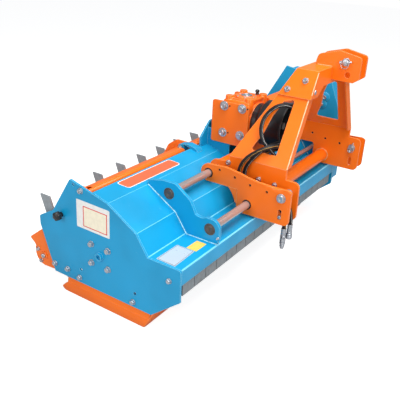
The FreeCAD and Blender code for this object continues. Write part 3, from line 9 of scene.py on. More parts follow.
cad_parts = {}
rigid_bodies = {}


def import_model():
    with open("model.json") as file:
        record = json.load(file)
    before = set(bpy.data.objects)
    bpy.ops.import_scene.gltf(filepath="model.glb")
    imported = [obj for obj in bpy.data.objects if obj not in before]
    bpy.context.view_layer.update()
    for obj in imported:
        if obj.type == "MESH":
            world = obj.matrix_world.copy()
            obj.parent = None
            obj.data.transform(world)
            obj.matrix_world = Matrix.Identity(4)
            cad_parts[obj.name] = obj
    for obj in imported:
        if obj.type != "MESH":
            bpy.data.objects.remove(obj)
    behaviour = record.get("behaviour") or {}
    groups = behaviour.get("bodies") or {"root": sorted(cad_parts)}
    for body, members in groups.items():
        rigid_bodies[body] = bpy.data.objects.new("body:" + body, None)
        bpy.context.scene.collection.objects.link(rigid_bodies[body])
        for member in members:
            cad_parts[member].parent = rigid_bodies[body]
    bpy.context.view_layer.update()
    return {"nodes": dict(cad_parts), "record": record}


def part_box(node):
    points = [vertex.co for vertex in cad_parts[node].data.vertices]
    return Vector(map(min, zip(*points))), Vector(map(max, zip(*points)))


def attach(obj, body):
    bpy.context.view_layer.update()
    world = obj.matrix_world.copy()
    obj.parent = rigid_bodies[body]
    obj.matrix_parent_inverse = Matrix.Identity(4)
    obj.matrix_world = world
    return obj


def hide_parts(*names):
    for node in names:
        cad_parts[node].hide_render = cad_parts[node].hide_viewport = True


for leftover in list(bpy.data.objects):
    bpy.data.objects.remove(leftover, do_unlink=True)
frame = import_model()

# ---- places
# Sizes below are millimetres from the outer face of the right side plate (x),
# the front lip of the hood (y) and the ground (z), turned into the row frame.
plate_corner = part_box("skid_right")[0]
X0 = plate_corner[0]
Y0 = plate_corner[1] - 0.173
WIDTH = (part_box("side_plate_left")[1][0] - X0) * 1000
MAST = ((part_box("top_link_bracket")[0][0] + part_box("top_link_bracket")[1][0]) / 2 - X0) * 1000

# places that several pieces share, as (y, z)
GUIDE_RODS = ((40, 388), (242, 485))
HINGE = (487, 513)
LOWER_PIN = (-119, 463)
TOP_PIN = (-166, 972)
SMALL_HOLES = ((186, 512), (108, 497), (31, 481), (-50, 472))
SHAFT_Z = 655
# faces across the machine
SHEET_T = 8  # side plates
BRACKET_FACE = 247  # near guide rod bracket
LEG_FOOT, LEG_FOOT_Z = 382, 560  # foot of a mast leg's outer face, from the mast's middle
LEG_SLOPE = 0.529  # how far a leg leans in, per height
CLEVIS_INNER = (372, 382)  # both faces of the clevis plates, from the mast's middle
CLEVIS_OUTER = (443, 453)
NEAR = (-1, 0, 0)
FAR = (1, 0, 0)
FRONT = (0, -1, 0)
BACK = (0, 1, 0)
UP = (0, 0, 1)
DOWN = (0, 0, -1)


def at(x, y, z):
    """Point of the scene, in metres, from a place in mm."""
    return Vector((X0 + x / 1000, Y0 + y / 1000, z / 1000))


# ---- materials
MIX_FAC, MIX_A, MIX_B, MIX_RESULT = 0, 6, 7, 2  # colour sockets of a Mix node


def srgb(r, g, b):
    """Linear colour from one written in 0 to 255."""
    out = []
    for v in (r, g, b):
        v /= 255
        out.append(v / 12.92 if v <= 0.04045 else ((v + 0.055) / 1.055) ** 2.4)
    return (*out, 1.0)


def scaled(colour, k):
    """A colour made lighter or darker."""
    return (*(min(1.0, c * k) for c in colour[:3]), 1.0)


class Look:
    """Node material built in steps: colour layers, roughness, bump."""

    def __init__(self, name, colour, rough, metallic=0.0, coat=0.0, spec=0.5):
        self.mat = bpy.data.materials.new(name)
        self.mat.use_nodes = True
        self.tree = self.mat.node_tree
        self.shader = self.tree.nodes["Principled BSDF"]
        self.shader.inputs["Metallic"].default_value = metallic
        self.shader.inputs["Coat Weight"].default_value = coat
        self.shader.inputs["Coat Roughness"].default_value = 0.12
        self.shader.inputs["Specular IOR Level"].default_value = spec
        self.place = self.new("ShaderNodeTexCoord").outputs["Object"]
        self.colour = None
        self.base = colour
        self.rough = rough
        self.normal = None

    def new(self, kind, **props):
        """Add a node and set what it is made with."""
        node = self.tree.nodes.new(kind)
        for key, value in props.items():
            setattr(node, key, value)
        return node

    def link(self, a, b):
        """Join an output socket to an input."""
        self.tree.links.new(a, b)

    def noise(self, scale, detail=3.0, rough=0.55, stretch=None):
        """Factor socket of a noise texture in the object's own space."""
        node = self.new("ShaderNodeTexNoise")
        node.inputs["Scale"].default_value = scale
        node.inputs["Detail"].default_value = detail
        node.inputs["Roughness"].default_value = rough
        source = self.place
        if stretch:
            mapping = self.new("ShaderNodeMapping")
            mapping.inputs["Scale"].default_value = stretch
            self.link(source, mapping.inputs["Vector"])
            source = mapping.outputs["Vector"]
        self.link(source, node.inputs["Vector"])
        return node.outputs["Fac"]

    def cells(self, scale):
        """Colour socket of a cell pattern, for zinc spangle."""
        node = self.new("ShaderNodeTexVoronoi")
        node.inputs["Scale"].default_value = scale
        self.link(self.place, node.inputs["Vector"])
        return node.outputs["Color"]

    def ramp(self, fac, lo, hi, a=0.0, b=1.0):
        """Factor socket that runs from a to b while its input runs from lo to hi."""
        node = self.new("ShaderNodeMapRange")
        node.inputs["From Min"].default_value = lo
        node.inputs["From Max"].default_value = hi
        node.inputs["To Min"].default_value = a
        node.inputs["To Max"].default_value = b
        self.link(fac, node.inputs["Value"])
        return node.outputs["Result"]

    def layer(self, fac, colour):
        """Blend another colour over what is there, by a factor socket."""
        node = self.new("ShaderNodeMix", data_type="RGBA")
        if self.colour is None:
            node.inputs[MIX_A].default_value = self.base
        else:
            self.link(self.colour, node.inputs[MIX_A])
        node.inputs[MIX_B].default_value = colour
        self.link(fac, node.inputs[MIX_FAC])
        self.colour = node.outputs[MIX_RESULT]

    def edges(self, radius, colour, strength=0.6):
        """Painted highlight on rounded edges: a lighter colour where the bevelled normal leaves
        the true one, and that bevelled normal for the shader.
        """
        bevel = self.new("ShaderNodeBevel", samples=4)
        bevel.inputs["Radius"].default_value = radius
        true = self.new("ShaderNodeNewGeometry").outputs["Normal"]
        dot = self.new("ShaderNodeVectorMath", operation="DOT_PRODUCT")
        self.link(bevel.outputs["Normal"], dot.inputs[0])
        self.link(true, dot.inputs[1])
        # painted highlight: how much of the edge colour is laid over the base
        fac = self.ramp(dot.outputs["Value"], 0.995, 0.86, 0.0, strength)
        self.layer(fac, colour)
        self.normal = bevel.outputs["Normal"]

    def bump(self, fac, strength, distance=0.001):
        """Relief from a factor socket, over the normal that is there."""
        node = self.new("ShaderNodeBump")
        node.inputs["Strength"].default_value = strength
        node.inputs["Distance"].default_value = distance
        self.link(fac, node.inputs["Height"])
        if self.normal is not None:
            self.link(self.normal, node.inputs["Normal"])
        self.normal = node.outputs["Normal"]

    def done(self, rough_fac=None, spread=0.08):
        """Link what was built to the shader, with roughness that varies by spread."""
        s = self.shader.inputs
        if self.colour is None:
            s["Base Color"].default_value = self.base
        else:
            self.link(self.colour, s["Base Color"])
        s["Roughness"].default_value = self.rough
        if rough_fac is not None:
            r = self.ramp(rough_fac, 0.3, 0.7, self.rough - spread, self.rough + spread)
            self.link(r, s["Roughness"])
        if self.normal is not None:
            self.link(self.normal, s["Normal"])
        return self.mat


def paint(name, colour, edge, shade=0.82, lift=1.12, lines=0.75, grit=0.0):
    """Glossy paint: broad shading, scuffs, dust, and a painted highlight along edges and folds."""
    look = Look(name, colour, 0.36, coat=0.12, spec=0.35)
    broad = look.noise(3.2, 2.0)
    look.layer(look.ramp(broad, 0.42, 0.72), scaled(colour, lift))
    look.layer(look.ramp(broad, 0.56, 0.30, 0.0, 0.6), scaled(colour, shade))
    scuffs = look.noise(34, 6.0, 0.7, (1.0, 0.35, 1.6))
    look.layer(look.ramp(scuffs, 0.66, 0.74, 0.0, 0.16), scaled(edge, 0.9))
    dust = look.noise(420, 2.0)
    look.layer(look.ramp(dust, 0.62, 0.72, 0.0, 0.10), scaled(colour, 0.6))
    # painted highlight in the second colour along edges and folds, as strong as lines says
    look.edges(0.0035, edge, lines)
    if grit:
        look.bump(look.noise(140, 4.0, 0.7), grit, 0.0012)
    look.bump(look.noise(230, 2.0), 0.10, 0.0005)
    return look.done(scuffs, 0.07)


def zinc(name, colour, rough, spangle=0.0, metallic=0.85, grain=160):
    """Plated or galvanised steel with streaks, stains, an optional spangle and a painted highlight
    along its edges.
    """
    look = Look(name, colour, rough, metallic=metallic)
    if spangle:
        bw = look.new("ShaderNodeRGBToBW")
        look.link(look.cells(spangle), bw.inputs[0])
        look.layer(look.ramp(bw.outputs[0], 0.1, 0.9, 0.0, 0.35), scaled(colour, 1.45))
    streak = look.noise(grain, 4.0, 0.6, (1.0, 1.0, 0.25))
    look.layer(look.ramp(streak, 0.5, 0.75, 0.0, 0.5), scaled(colour, 0.72))
    stain = look.noise(22, 4.0)
    look.layer(look.ramp(stain, 0.62, 0.8, 0.0, 0.35), scaled(srgb(120, 104, 84), 0.8))
    # painted highlight on edges, in a lighter zinc
    look.edges(0.0012, scaled(colour, 1.5), 0.5)
    look.bump(streak, 0.12, 0.0006)
    return look.done(stain, 0.09)


def dark(name, colour, rough, bump=0.15, scale=300, spec=0.5, edge=2.2, coat=0.0):
    """Rubber, plastic or dark steel with a fine grain, a dusty haze and a painted highlight along
    its edges.
    """
    look = Look(name, colour, rough, spec=spec, coat=coat)
    fine = look.noise(scale, 4.0)
    look.layer(look.ramp(fine, 0.5, 0.75), scaled(colour, 1.7))
    haze = look.noise(12, 3.0)
    look.layer(look.ramp(haze, 0.55, 0.8, 0.0, 0.35), (0.09, 0.085, 0.08, 1))
    # painted highlight on edges, in the colour made lighter by edge
    look.edges(0.0014, scaled(colour, edge), 0.6)
    look.bump(fine, bump, 0.0006)
    return look.done(haze, 0.08)


def plain(name, colour, rough, coat=0.0, mottle=0.08):
    """Printed or brushed-on colour, a little mottled."""
    look = Look(name, colour, rough, coat=coat)
    soft = look.noise(60, 3.0)
    look.layer(look.ramp(soft, 0.4, 0.7, 0.0, 1.0), scaled(colour, 1 - mottle))
    look.bump(look.noise(500, 2.0), 0.04, 0.0003)
    return look.done(soft, 0.05)


def chrome(name):
    """Ground rod with fine rings and soft pinkish-brown patches."""
    look = Look(name, srgb(194, 186, 184), 0.18, metallic=0.6, coat=0.4)
    rings = look.noise(700, 2.0, 0.5, (1.0, 0.02, 0.02))
    look.layer(look.ramp(rings, 0.45, 0.7, 0.0, 0.5), srgb(196, 188, 186))
    pink_patches = look.noise(9, 3.0, 0.6, (0.5, 2.0, 2.0))
    look.layer(look.ramp(pink_patches, 0.5, 0.8, 0.0, 0.5), srgb(142, 116, 108))
    look.bump(rings, 0.05, 0.0003)
    return look.done(pink_patches, 0.05)


# each paint's pale second colour goes to its scuffs and to its painted highlight on edges and
# folds
BLUE = paint("blue_paint_look", srgb(12, 152, 202), srgb(150, 230, 252))
ORANGE = paint("orange_paint_look", srgb(254, 116, 14), srgb(255, 206, 150), 0.88, 1.06, 0.45)
CAST = paint("orange_casting_look", srgb(250, 108, 16), srgb(255, 196, 140), 0.86, 1.08, 0.6, 0.35)
ZINC = zinc("zinc_plate_look", srgb(186, 190, 196), 0.32)
FLAP = zinc("galvanised_flap_look", srgb(134, 141, 145), 0.52, spangle=120, metallic=0.45)
TINE = zinc("galvanised_tine_look", srgb(158, 164, 168), 0.45, spangle=90, metallic=0.55)
CHROME = chrome("chrome_rod_look")
PLASTIC = dark("guard_plastic_look", srgb(22, 23, 26), 0.36, 0.10, 260, coat=0.15)
RUBBER = dark("hose_rubber_look", srgb(15, 16, 18), 0.5, 0.12, 520, spec=0.3)
BLACK = dark("black_paint_look", srgb(26, 27, 29), 0.34, 0.08, 180, coat=0.3)
IRON = dark("rotor_steel_look", srgb(74, 72, 70), 0.5, 0.3, 160)
WHITE = plain("label_white_look", srgb(240, 240, 236), 0.38, 0.2)
CREAM = plain("label_cream_look", srgb(250, 240, 214), 0.4, 0.2)
RED = plain("label_red_look", srgb(226, 64, 66), 0.4, 0.2)
CORAL = plain("label_coral_look", srgb(248, 104, 66), 0.36, 0.25)
YELLOW = plain("label_yellow_look", srgb(253, 204, 84), 0.38, 0.2)
ALUMINIUM = zinc("plate_aluminium_look", srgb(196, 208, 218), 0.34, metallic=0.15, grain=300)
# pale blue painted highlight laid on the hood's bends
BLUE_FOLD_HIGHLIGHT = plain("blue_fold_highlight_look", srgb(120, 216, 248), 0.25, 0.4, 0.12)
# weld beads in a pale blue: the paint's colour lifted as a painted highlight
BLUE_WELD_HIGHLIGHT = plain("blue_weld_highlight_look", srgb(176, 236, 252), 0.28, 0.4, 0.55)
# weld beads in a pale orange: the paint's colour lifted as a painted highlight
ORANGE_WELD_HIGHLIGHT = plain("orange_weld_highlight_look", srgb(255, 176, 110), 0.3, 0.4, 0.4)
# pale orange painted highlight for the mast's folds
ORANGE_FOLD_HIGHLIGHT = plain("orange_fold_highlight_look", srgb(255, 206, 160), 0.25, 0.5, 0.3)
ROD_END = dark("rod_end_look", srgb(78, 66, 58), 0.42, 0.3, 240, spec=0.6)
STRIPE_GOLD = plain("hose_stripe_gold_look", srgb(214, 160, 70), 0.5, 0.0, 0.45)
STRIPE_WHITE = plain("hose_stripe_white_look", srgb(186, 184, 180), 0.5, 0.0, 0.6)
# near-black for painted shadow: discs in holes, and the gaps round the rods
HOLE = dark("hole_shadow_look", srgb(18, 12, 10), 0.8, 0.05, 200)

BY_SLOT = {
    "blue_paint": BLUE,
    "orange_paint": ORANGE,
    "zinc_steel": ZINC,
    "chrome": CHROME,
    "black_plastic": PLASTIC,
    "dark_steel": IRON,
    "black_paint": BLACK,
    "black_rubber": RUBBER,
}


def dress_cad_nodes():
    """Give each CAD node the look of its material slot; flaps and tines are galvanised."""
    own = {"front_flaps": FLAP, "rake_tines": TINE}
    slot_of = {}
    for entry in frame["record"].get("materials", []):
        for name in entry.get("nodes", []):
            slot_of[name] = entry["slot"]
    for name, obj in frame["nodes"].items():
        kind = obj.data.materials[0].name.split(".")[0] if obj.data.materials else "blue_paint"
        look = own.get(name, BY_SLOT.get(slot_of.get(name, kind), BLUE))
        for slot in obj.material_slots:
            slot.material = look


# ---- mesh tools
def turn_to(axis):
    """Rotation that takes local z to the axis."""
    return Vector((0, 0, 1)).rotation_difference(Vector(axis)).to_matrix().to_4x4()


def turns(count, spin=0.0):
    """Angles of a number of points evenly round a circle."""
    return [spin + 2 * math.pi * i / count for i in range(count)]


def circle(place, radius, count):
    """Points round a circle in mm, in the xy plane of a placing matrix."""
    return [place @ (Vector((math.cos(a), math.sin(a), 0)) * radius / 1000) for a in turns(count)]


def join_loops(bm, low, high):
    """Band of faces between two closed loops of as many points."""
    for i in range(len(low)):
        j = (i + 1) % len(low)
        bm.faces.new((low[i], low[j], high[j], high[i]))


def lathe(bm, origin, axis, profile, steps=24, spin=0.0, trim=None):
    """Turn a profile of (height, radius) pairs in mm about an axis through a point.

    trim, when given, takes (height, radius, angle) and says how much to take off the radius.
    """
    place = Matrix.Translation(origin) @ turn_to(axis)
    rings = []
    for height, radius in profile:
        if radius <= 0:
            rings.append([bm.verts.new(place @ Vector((0, 0, height / 1000)))])
            continue
        ring = []
        for a in turns(steps, spin):
            r = radius - trim(height, radius, a) if trim else radius
            p = Vector((r * math.cos(a), r * math.sin(a), height)) / 1000
            ring.append(bm.verts.new(place @ p))
        rings.append(ring)
    for low, high in zip(rings, rings[1:]):
        if len(low) == 1:
            close_ring(bm, high, low[0])
        elif len(high) == 1:
            close_ring(bm, low, high[0])
        else:
            join_loops(bm, low, high)


def close_ring(bm, ring, tip):
    """Fan of faces from a ring to one point."""
    for i in range(len(ring)):
        bm.faces.new((ring[i], ring[(i + 1) % len(ring)], tip))


def washer(bm, origin, axis, radius, bore, height):
    """Flat ring with eased edges."""
    e = min(0.4, height / 3)
    lathe(bm, origin, axis, [
        (0, bore), (0, radius), (height - e, radius), (height, radius - e),
        (height, bore + e), (height - e, bore), (0, bore)], 28)


def hex_head(bm, origin, axis, across, height, spin=0.2, dome=0.12):
    """Hexagon head with its turned chamfer and a shallow stamped dish."""
    r = across / math.sqrt(3)
    lathe(bm, origin, axis, [
        (0, 0), (0, r), (height * 0.82, r), (height, r * 0.87),
        (height, r * 0.55), (height - height * dome, r * 0.45), (height - height * dome, 0)],
        6, spin)
    lathe(bm, origin, axis, [(height * 0.3, across / 2 - 0.2), (height * 0.99, across / 2 - 0.5),
                             (height * 0.99, r * 0.5)], 24)


def bolt(bm, origin, axis, across, spin=0.2, flat=None):
    """Flat washer and hexagon bolt head."""
    axis = Vector(axis).normalized()
    washer(bm, origin, axis, flat or across * 0.66, across * 0.30, across * 0.13)
    hex_head(bm, origin + axis * across * 0.13 / 1000, axis, across, across * 0.5, spin)


def sweep(bm, points, radii, sides=10, closed=False):
    """Tube through points (Vectors, metres); radii in mm, one each or one for all."""
    if not isinstance(radii, (list, tuple)):
        radii = [radii] * len(points)
    count = len(points)
    rings = []
    side = None
    for i, p in enumerate(points):
        a = points[(i - 1) % count] if closed or i > 0 else p
        b = points[(i + 1) % count] if closed or i < count - 1 else p
        along = (b - a).normalized()
        if side is None:
            side = along.orthogonal().normalized()
        side = (side - along * side.dot(along)).normalized()
        up = along.cross(side)
        rings.append([bm.verts.new(p + (side * math.cos(t) + up * math.sin(t)) * radii[i] / 1000)
                      for t in turns(sides)])
    pairs = list(zip(rings, rings[1:]))
    if closed:
        pairs.append((rings[-1], rings[0]))
    for low, high in pairs:
        join_loops(bm, low, high)
    if not closed:
        bm.faces.new(list(reversed(rings[0])))
        bm.faces.new(rings[-1])


BEAD_STEP = 2.4  # mm of weld per ripple


def weld(bm, path, radius):
    """Weld bead along a broken line, with the ripple of its passes."""
    points, radii = [], []
    for a, b in zip(path, path[1:]):
        count = max(2, int((b - a).length * 1000 / BEAD_STEP))
        for i in range(count):
            phase = len(points)
            points.append(a.lerp(b, i / count))
            ripple = 0.13 * math.sin(phase * 1.9) + 0.05 * math.sin(phase * 0.37)
            radii.append(radius * (1 + ripple))
    points.append(path[-1])
    radii.append(radius * 0.8)
    radii[0] = radius * 0.7
    sweep(bm, points, radii, 8)


def circle_weld(bm, centre, axis, ring, radius):
    """Weld bead round a tube."""
    count = max(24, int(2 * math.pi * ring / BEAD_STEP))
    points = circle(Matrix.Translation(centre) @ turn_to(axis), ring, count)
    radii = [radius * (1 + 0.13 * math.sin(i * 1.9)) for i in range(count)]
    sweep(bm, points, radii, 8, closed=True)


def bend(before, here, after, reach, steps):
    """Points of a rounded corner that starts and ends at a distance from it."""
    u = (before - here).normalized()
    v = (after - here).normalized()
    return [(1 - t) ** 2 * (here + u * reach) + 2 * t * (1 - t) * here + t * t * (here + v * reach)
            for t in (k / steps for k in range(steps + 1))]


def sticker(bm, corners, lift, thick, corner):
    """Thin plate with rounded corners over four points in a plane, in mm."""
    p = [Vector(c) for c in corners]
    normal = (p[1] - p[0]).cross(p[3] - p[0]).normalized()
    outline = []
    for i in range(len(p)):
        outline += bend(p[i - 1], p[i], p[(i + 1) % len(p)], corner, 5)
    low = [bm.verts.new(at(*(q + normal * lift))) for q in outline]
    high = [bm.verts.new(at(*(q + normal * (lift + thick)))) for q in outline]
    bm.faces.new(high)
    bm.faces.new(list(reversed(low)))
    join_loops(bm, low, high)


def add_object(name, data):
    """New object in the scene."""
    obj = bpy.data.objects.new(name, data)
    bpy.context.scene.collection.objects.link(obj)
    return obj


def finish_piece(name, bm, body, looks, smooth=40):
    """Turn a bmesh into a named piece that rides on a body."""
    bmesh.ops.recalc_face_normals(bm, faces=bm.faces)
    mesh = bpy.data.meshes.new(name)
    bm.to_mesh(mesh)
    bm.free()
    obj = add_object(name, mesh)
    for look in looks if isinstance(looks, (list, tuple)) else [looks]:
        mesh.materials.append(look)
    mesh.shade_smooth()
    mesh.set_sharp_from_angle(angle=math.radians(smooth))
    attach(obj, body)
    return obj


def leg_out(side):
    """Outward direction of a mast leg's plate: side 1 is the right leg, -1 the left."""
    return Vector((-side, 0, LEG_SLOPE)).normalized()


def on_leg(side, y, z, off=0.0):
    """Point on a mast leg's outer face, off mm proud of it."""
    reach = LEG_FOOT - LEG_SLOPE * (z - LEG_FOOT_Z)
    return at(MAST - side * reach, y, z) + leg_out(side) * off / 1000


def linch(bm, end, away, pin, shaft, ring):
    """Spring ring and cross pin that lock a shaft's end."""
    away = Vector(away)
    pin = Vector(pin).normalized()
    along = [end + pin * (share * shaft + past) / 1000
             for share, past in ((-1, -12), (-1, -8), (1, 14), (1, 17))]
    sweep(bm, along, [2, 3.6, 3.6, 2], 12)
    head = end - pin * (shaft + 1) / 1000
    lathe(bm, head, -pin, [(0, 0), (0, 7), (1, 8), (9, 8), (11, 6), (11, 0)], 22)
    middle = Matrix.Translation(end + away * 0.004 + Vector((0, 0, -0.008)))
    turn = turn_to((away + Vector((0, 0.12, 0.1))).normalized())
    sweep(bm, circle(middle @ turn, ring, 36), 1.7, 8, closed=True)


# ---- body: plates and labels
def build_side_bolts():
    """Bolts of the side plates, the rear guard's ends and the roller's ends."""
    bm = bmesh.new()
    for k, (y, z) in enumerate([(441, 293), (352, 291), (443, 206), (354, 205)]):
        bolt(bm, at(0, y, z), NEAR, 21, 0.3 + k)
    for k, (y, z) in enumerate([(587, 121), (664, 121), (517, 105), (226, 104)]):
        bolt(bm, at(0, y, z), NEAR, 19, 0.1 + k)
    bolt(bm, at(0, *HINGE), NEAR, 19, 0.5)
    bolt(bm, at(0, 51, 271), NEAR, 17, 0.2)
    for k, (y, z) in enumerate([(587, 121), (664, 121)]):
        bolt(bm, at(WIDTH, y, z), FAR, 19, 0.4 + k)
    for k, (y, z) in enumerate([(777, 149), (762, 95)]):
        bolt(bm, at(SHEET_T, y, z), NEAR, 15, 0.4 + k)
        bolt(bm, at(WIDTH - SHEET_T, y, z), FAR, 15, 0.7 + k)
    bolt(bm, at(SHEET_T, 741, 128), NEAR, 19, 0.9)
    bolt(bm, at(WIDTH - SHEET_T, 741, 128), FAR, 19, 0.9)
    finish_piece("side_bolts", bm, "mulcher", ZINC)


def build_latch_grip():
    """Lobed grip of the latch that holds the rear hood."""
    def lobes(height, radius, angle):
        return 1.7 * (1 - math.cos(6 * angle)) if radius > 12 else 0

    bm = bmesh.new()
    lathe(bm, at(0, 606, 374), NEAR, [
        (0, 0), (0, 11), (5, 11), (6, 9), (10, 9), (12, 15), (15, 20), (29, 20), (34, 17),
        (36, 10), (36, 0)], 60, trim=lobes)
    grip = finish_piece("latch_grip", bm, "mulcher", PLASTIC, 50)
    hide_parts("latch_knob")


def inside(corners, u0, u1, v0, v1):
    """Part of a four-cornered label, by shares of its sides."""
    a, b, c, d = corners

    def spot(u, v):
        return a.lerp(b, u).lerp(d.lerp(c, u), v)

    return [spot(u0, v0), spot(u1, v0), spot(u1, v1), spot(u0, v1)]


def label(name, corners, lift, thick, corner, look, part=(0, 1, 0, 1)):
    """One thin layer of a blank label over four points, in mm."""
    bm = bmesh.new()
    sticker(bm, inside([Vector(c) for c in corners], *part), lift, thick, corner)
    finish_piece(name, bm, "mulcher", look)


def build_side_label():
    """Blank label on the near plate: white, with a red line round a cream field."""
    corners = [(-0.1, 342, 348), (-0.1, 339, 469), (-0.1, 514, 473), (-0.1, 517, 350)]
    label("side_label", corners, 0.0, 0.5, 5, WHITE)
    label("side_label_line", corners, 0.5, 0.2, 3, RED, (0.09, 0.83, 0.07, 0.80))
    label("side_label_field", corners, 0.7, 0.15, 2, CREAM, (0.122, 0.798, 0.096, 0.774))


def build_top_labels():
    """Blank labels on the hood and its deck: coral, rating plate, yellow."""
    hood = [(154, 372, 503.4), (508, 372, 503.4), (487, 424, 518.4), (134, 424, 518.4)]
    label("hood_label", hood, 0.0, 0.5, 16, WHITE)
    label("hood_label_field", hood, 0.5, 0.2, 14, CORAL, (0.008, 0.992, 0.055, 0.945))
    deck = [(14, 37, 331), (149, 43, 331), (150, 126, 331), (17, 126, 331)]
    label("deck_plate", deck, 0.0, 0.7, 2, ALUMINIUM)
    label("deck_plate_line", deck, 0.7, 0.1, 2, BLACK, (0.025, 0.975, 0.04, 0.96))
    label("deck_plate_field", deck, 0.8, 0.1, 2, ALUMINIUM, (0.035, 0.965, 0.055, 0.945))
    label("deck_label", [(153, 38, 331), (226, 38, 331), (226, 84, 331), (153, 84, 331)],
          0.0, 0.6, 2, YELLOW)


# ---- body: skids and hood
# along the skid: (y, height of its sole, height of its wall)
SKID_STATIONS = [
    (146, 46, 74), (152, 36, 88), (160, 23, 100), (167, 10, 110), (170, 4, 116), (174, 1, 120),
    (180, 0, 120), (590, 0, 120), (594, 0, 52), (609, 0.6, 40), (616, 2, 33), (622, 5, 28),
    (627, 11, 21), (629, 15, 17)]
SKID_T = 7
SKID_WIDTH = 170
SKID_FOLD = 52  # the wall leans in above this height, up to the next one
SKID_JOG = 74


def skid_section(low, top):
    """Outline of the skid's sheet as (x, z), from its wall's top round to it again."""
    fold = min(SKID_FOLD, top)
    jog = min(SKID_JOG, top)
    step = SHEET_T * (jog - fold) / (SKID_JOG - SKID_FOLD)
    outer = [(step, top), (step, jog), (0, fold), (0, min(low + 6, fold)),
             (1.8, min(low + 1.8, fold)), (6, low), (SKID_WIDTH, low)]
    inner = [(SKID_WIDTH, low + SKID_T), (11, low + SKID_T), (8.4, min(low + 9, fold)),
             (SKID_T, min(low + 12, fold)), (SKID_T, fold - 1), (step + SKID_T, jog - 1),
             (step + SKID_T, top)]
    return outer + inner


def build_skids():
    """Skids with a rising front and a rounded rear, and the fold along their walls."""
    for name, edge, inward in (("right", 0, 1), ("left", WIDTH, -1)):
        bm = bmesh.new()
        rows = [[bm.verts.new(at(edge + inward * x, y, z)) for x, z in skid_section(low, top)]
                for y, low, top in SKID_STATIONS]
        for a, b in zip(rows, rows[1:]):
            join_loops(bm, a, b)
        bm.faces.new(rows[0])
        bm.faces.new(rows[-1])
        runner = finish_piece("skid_runner_" + name, bm, "mulcher", ORANGE, 35)
        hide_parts("skid_" + name)
    bm = bmesh.new()
    for edge, inward in ((0, 1), (WIDTH, -1)):
        sweep(bm, [at(edge + inward * 3.4, y, 51.5) for y in (152, 300, 450, 588)], 4.2, 16)
    finish_piece("skid_folds", bm, "mulcher", ORANGE, 60)


def rounded(points, radius, steps=5):
    """Open outline with its inner corners rounded; gives points and which are on a bend."""
    outline, bent = [points[0]], [False]
    for before, here, after in zip(points, points[1:], points[2:]):
        half = (before - here).angle(after - here) / 2
        outline += bend(before, here, after, radius / math.tan(half), steps)
        bent += [True] * steps + [False]
    return outline + [points[-1]], bent + [False]


def folded_sheet(name, corners, thick, x_low, x_high, radius, looks, body):
    """Sheet folded along lines that run across the machine; the last look goes on its bends."""
    outer, bent = rounded([Vector(c) for c in corners], radius)
    last = len(outer) - 1
    inner = []
    for i, here in enumerate(outer):
        along = (outer[min(i + 1, last)] - outer[max(i - 1, 0)]).normalized()
        inner.append(here + Vector((along.y, -along.x)) * thick)
    bm = bmesh.new()
    a, b, c, d = [[bm.verts.new(at(x, p.x, p.y)) for p in line] for x in (x_low, x_high)
                  for line in (outer, inner)]
    for i in range(last):
        top = bm.faces.new((a[i], a[i + 1], c[i + 1], c[i]))
        top.material_index = 1 if bent[i] else 0
        bm.faces.new((b[i], b[i + 1], d[i + 1], d[i]))
        bm.faces.new((a[i], a[i + 1], b[i + 1], b[i]))
        bm.faces.new((c[i], c[i + 1], d[i + 1], d[i]))
    for i in (0, -1):
        bm.faces.new((a[i], b[i], d[i], c[i]))
    return finish_piece(name, bm, body, looks, 70)


def build_hood():
    """Hood sheet, and the lip behind its rear edge on each side of the hinge bracket."""
    outline = [(0, 265), (0, 331), (155, 331), (210, 413), (350, 497), (430, 520.3)]
    # the hood's bends carry the pale blue painted highlight
    hood = folded_sheet("hood_skin", outline, 6, SHEET_T, WIDTH - SHEET_T, 5,
                        [BLUE, BLUE_FOLD_HIGHLIGHT], "mulcher")
    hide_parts("hood_sheet")
    lip = [(430, 519), (435, 508), (449, 490)]
    for name, x_low, x_high in (("hood_lip", 14, 664), ("hood_lip_far", 706, WIDTH - 14)):
        folded_sheet(name, lip, 3, x_low, x_high, 4, [BLUE, BLUE], "mulcher")


def build_rear_rim():
    """Top edge of the rear hood: a tube, and the strip of sheet behind it."""
    bm = bmesh.new()
    for x_low, x_high in ((14, 655), (716, WIDTH - 14)):
        length = x_high - x_low
        lathe(bm, at(x_low, 466, 504.5), FAR, [
            (0, 9), (0, 11.5), (1, 12.5), (length - 1, 12.5), (length, 11.5), (length, 9)], 32)
    finish_piece("rear_rim_tube", bm, "rear_hood", ORANGE, 50)
    strip = [(470, 516.6), (486, 515), (512, 505.2)]
    for name, x_low, x_high in (("rear_rim_strip", 52, 655),
                                ("rear_rim_strip_far", 729, WIDTH - 52)):
        folded_sheet(name, strip, 3, x_low, x_high, 8, [ORANGE, ORANGE], "rear_hood")


def build_skid_noses():
    """Turned-up nose of each skid."""
    nose = [(152, 37), (145, 48), (124, 88)]
    for name, x_low, x_high in (("right", 1, 169), ("left", WIDTH - 169, WIDTH - 1)):
        folded_sheet("skid_nose_" + name, nose, 6, x_low, x_high, 6, [ORANGE, ORANGE],
                     "mulcher")


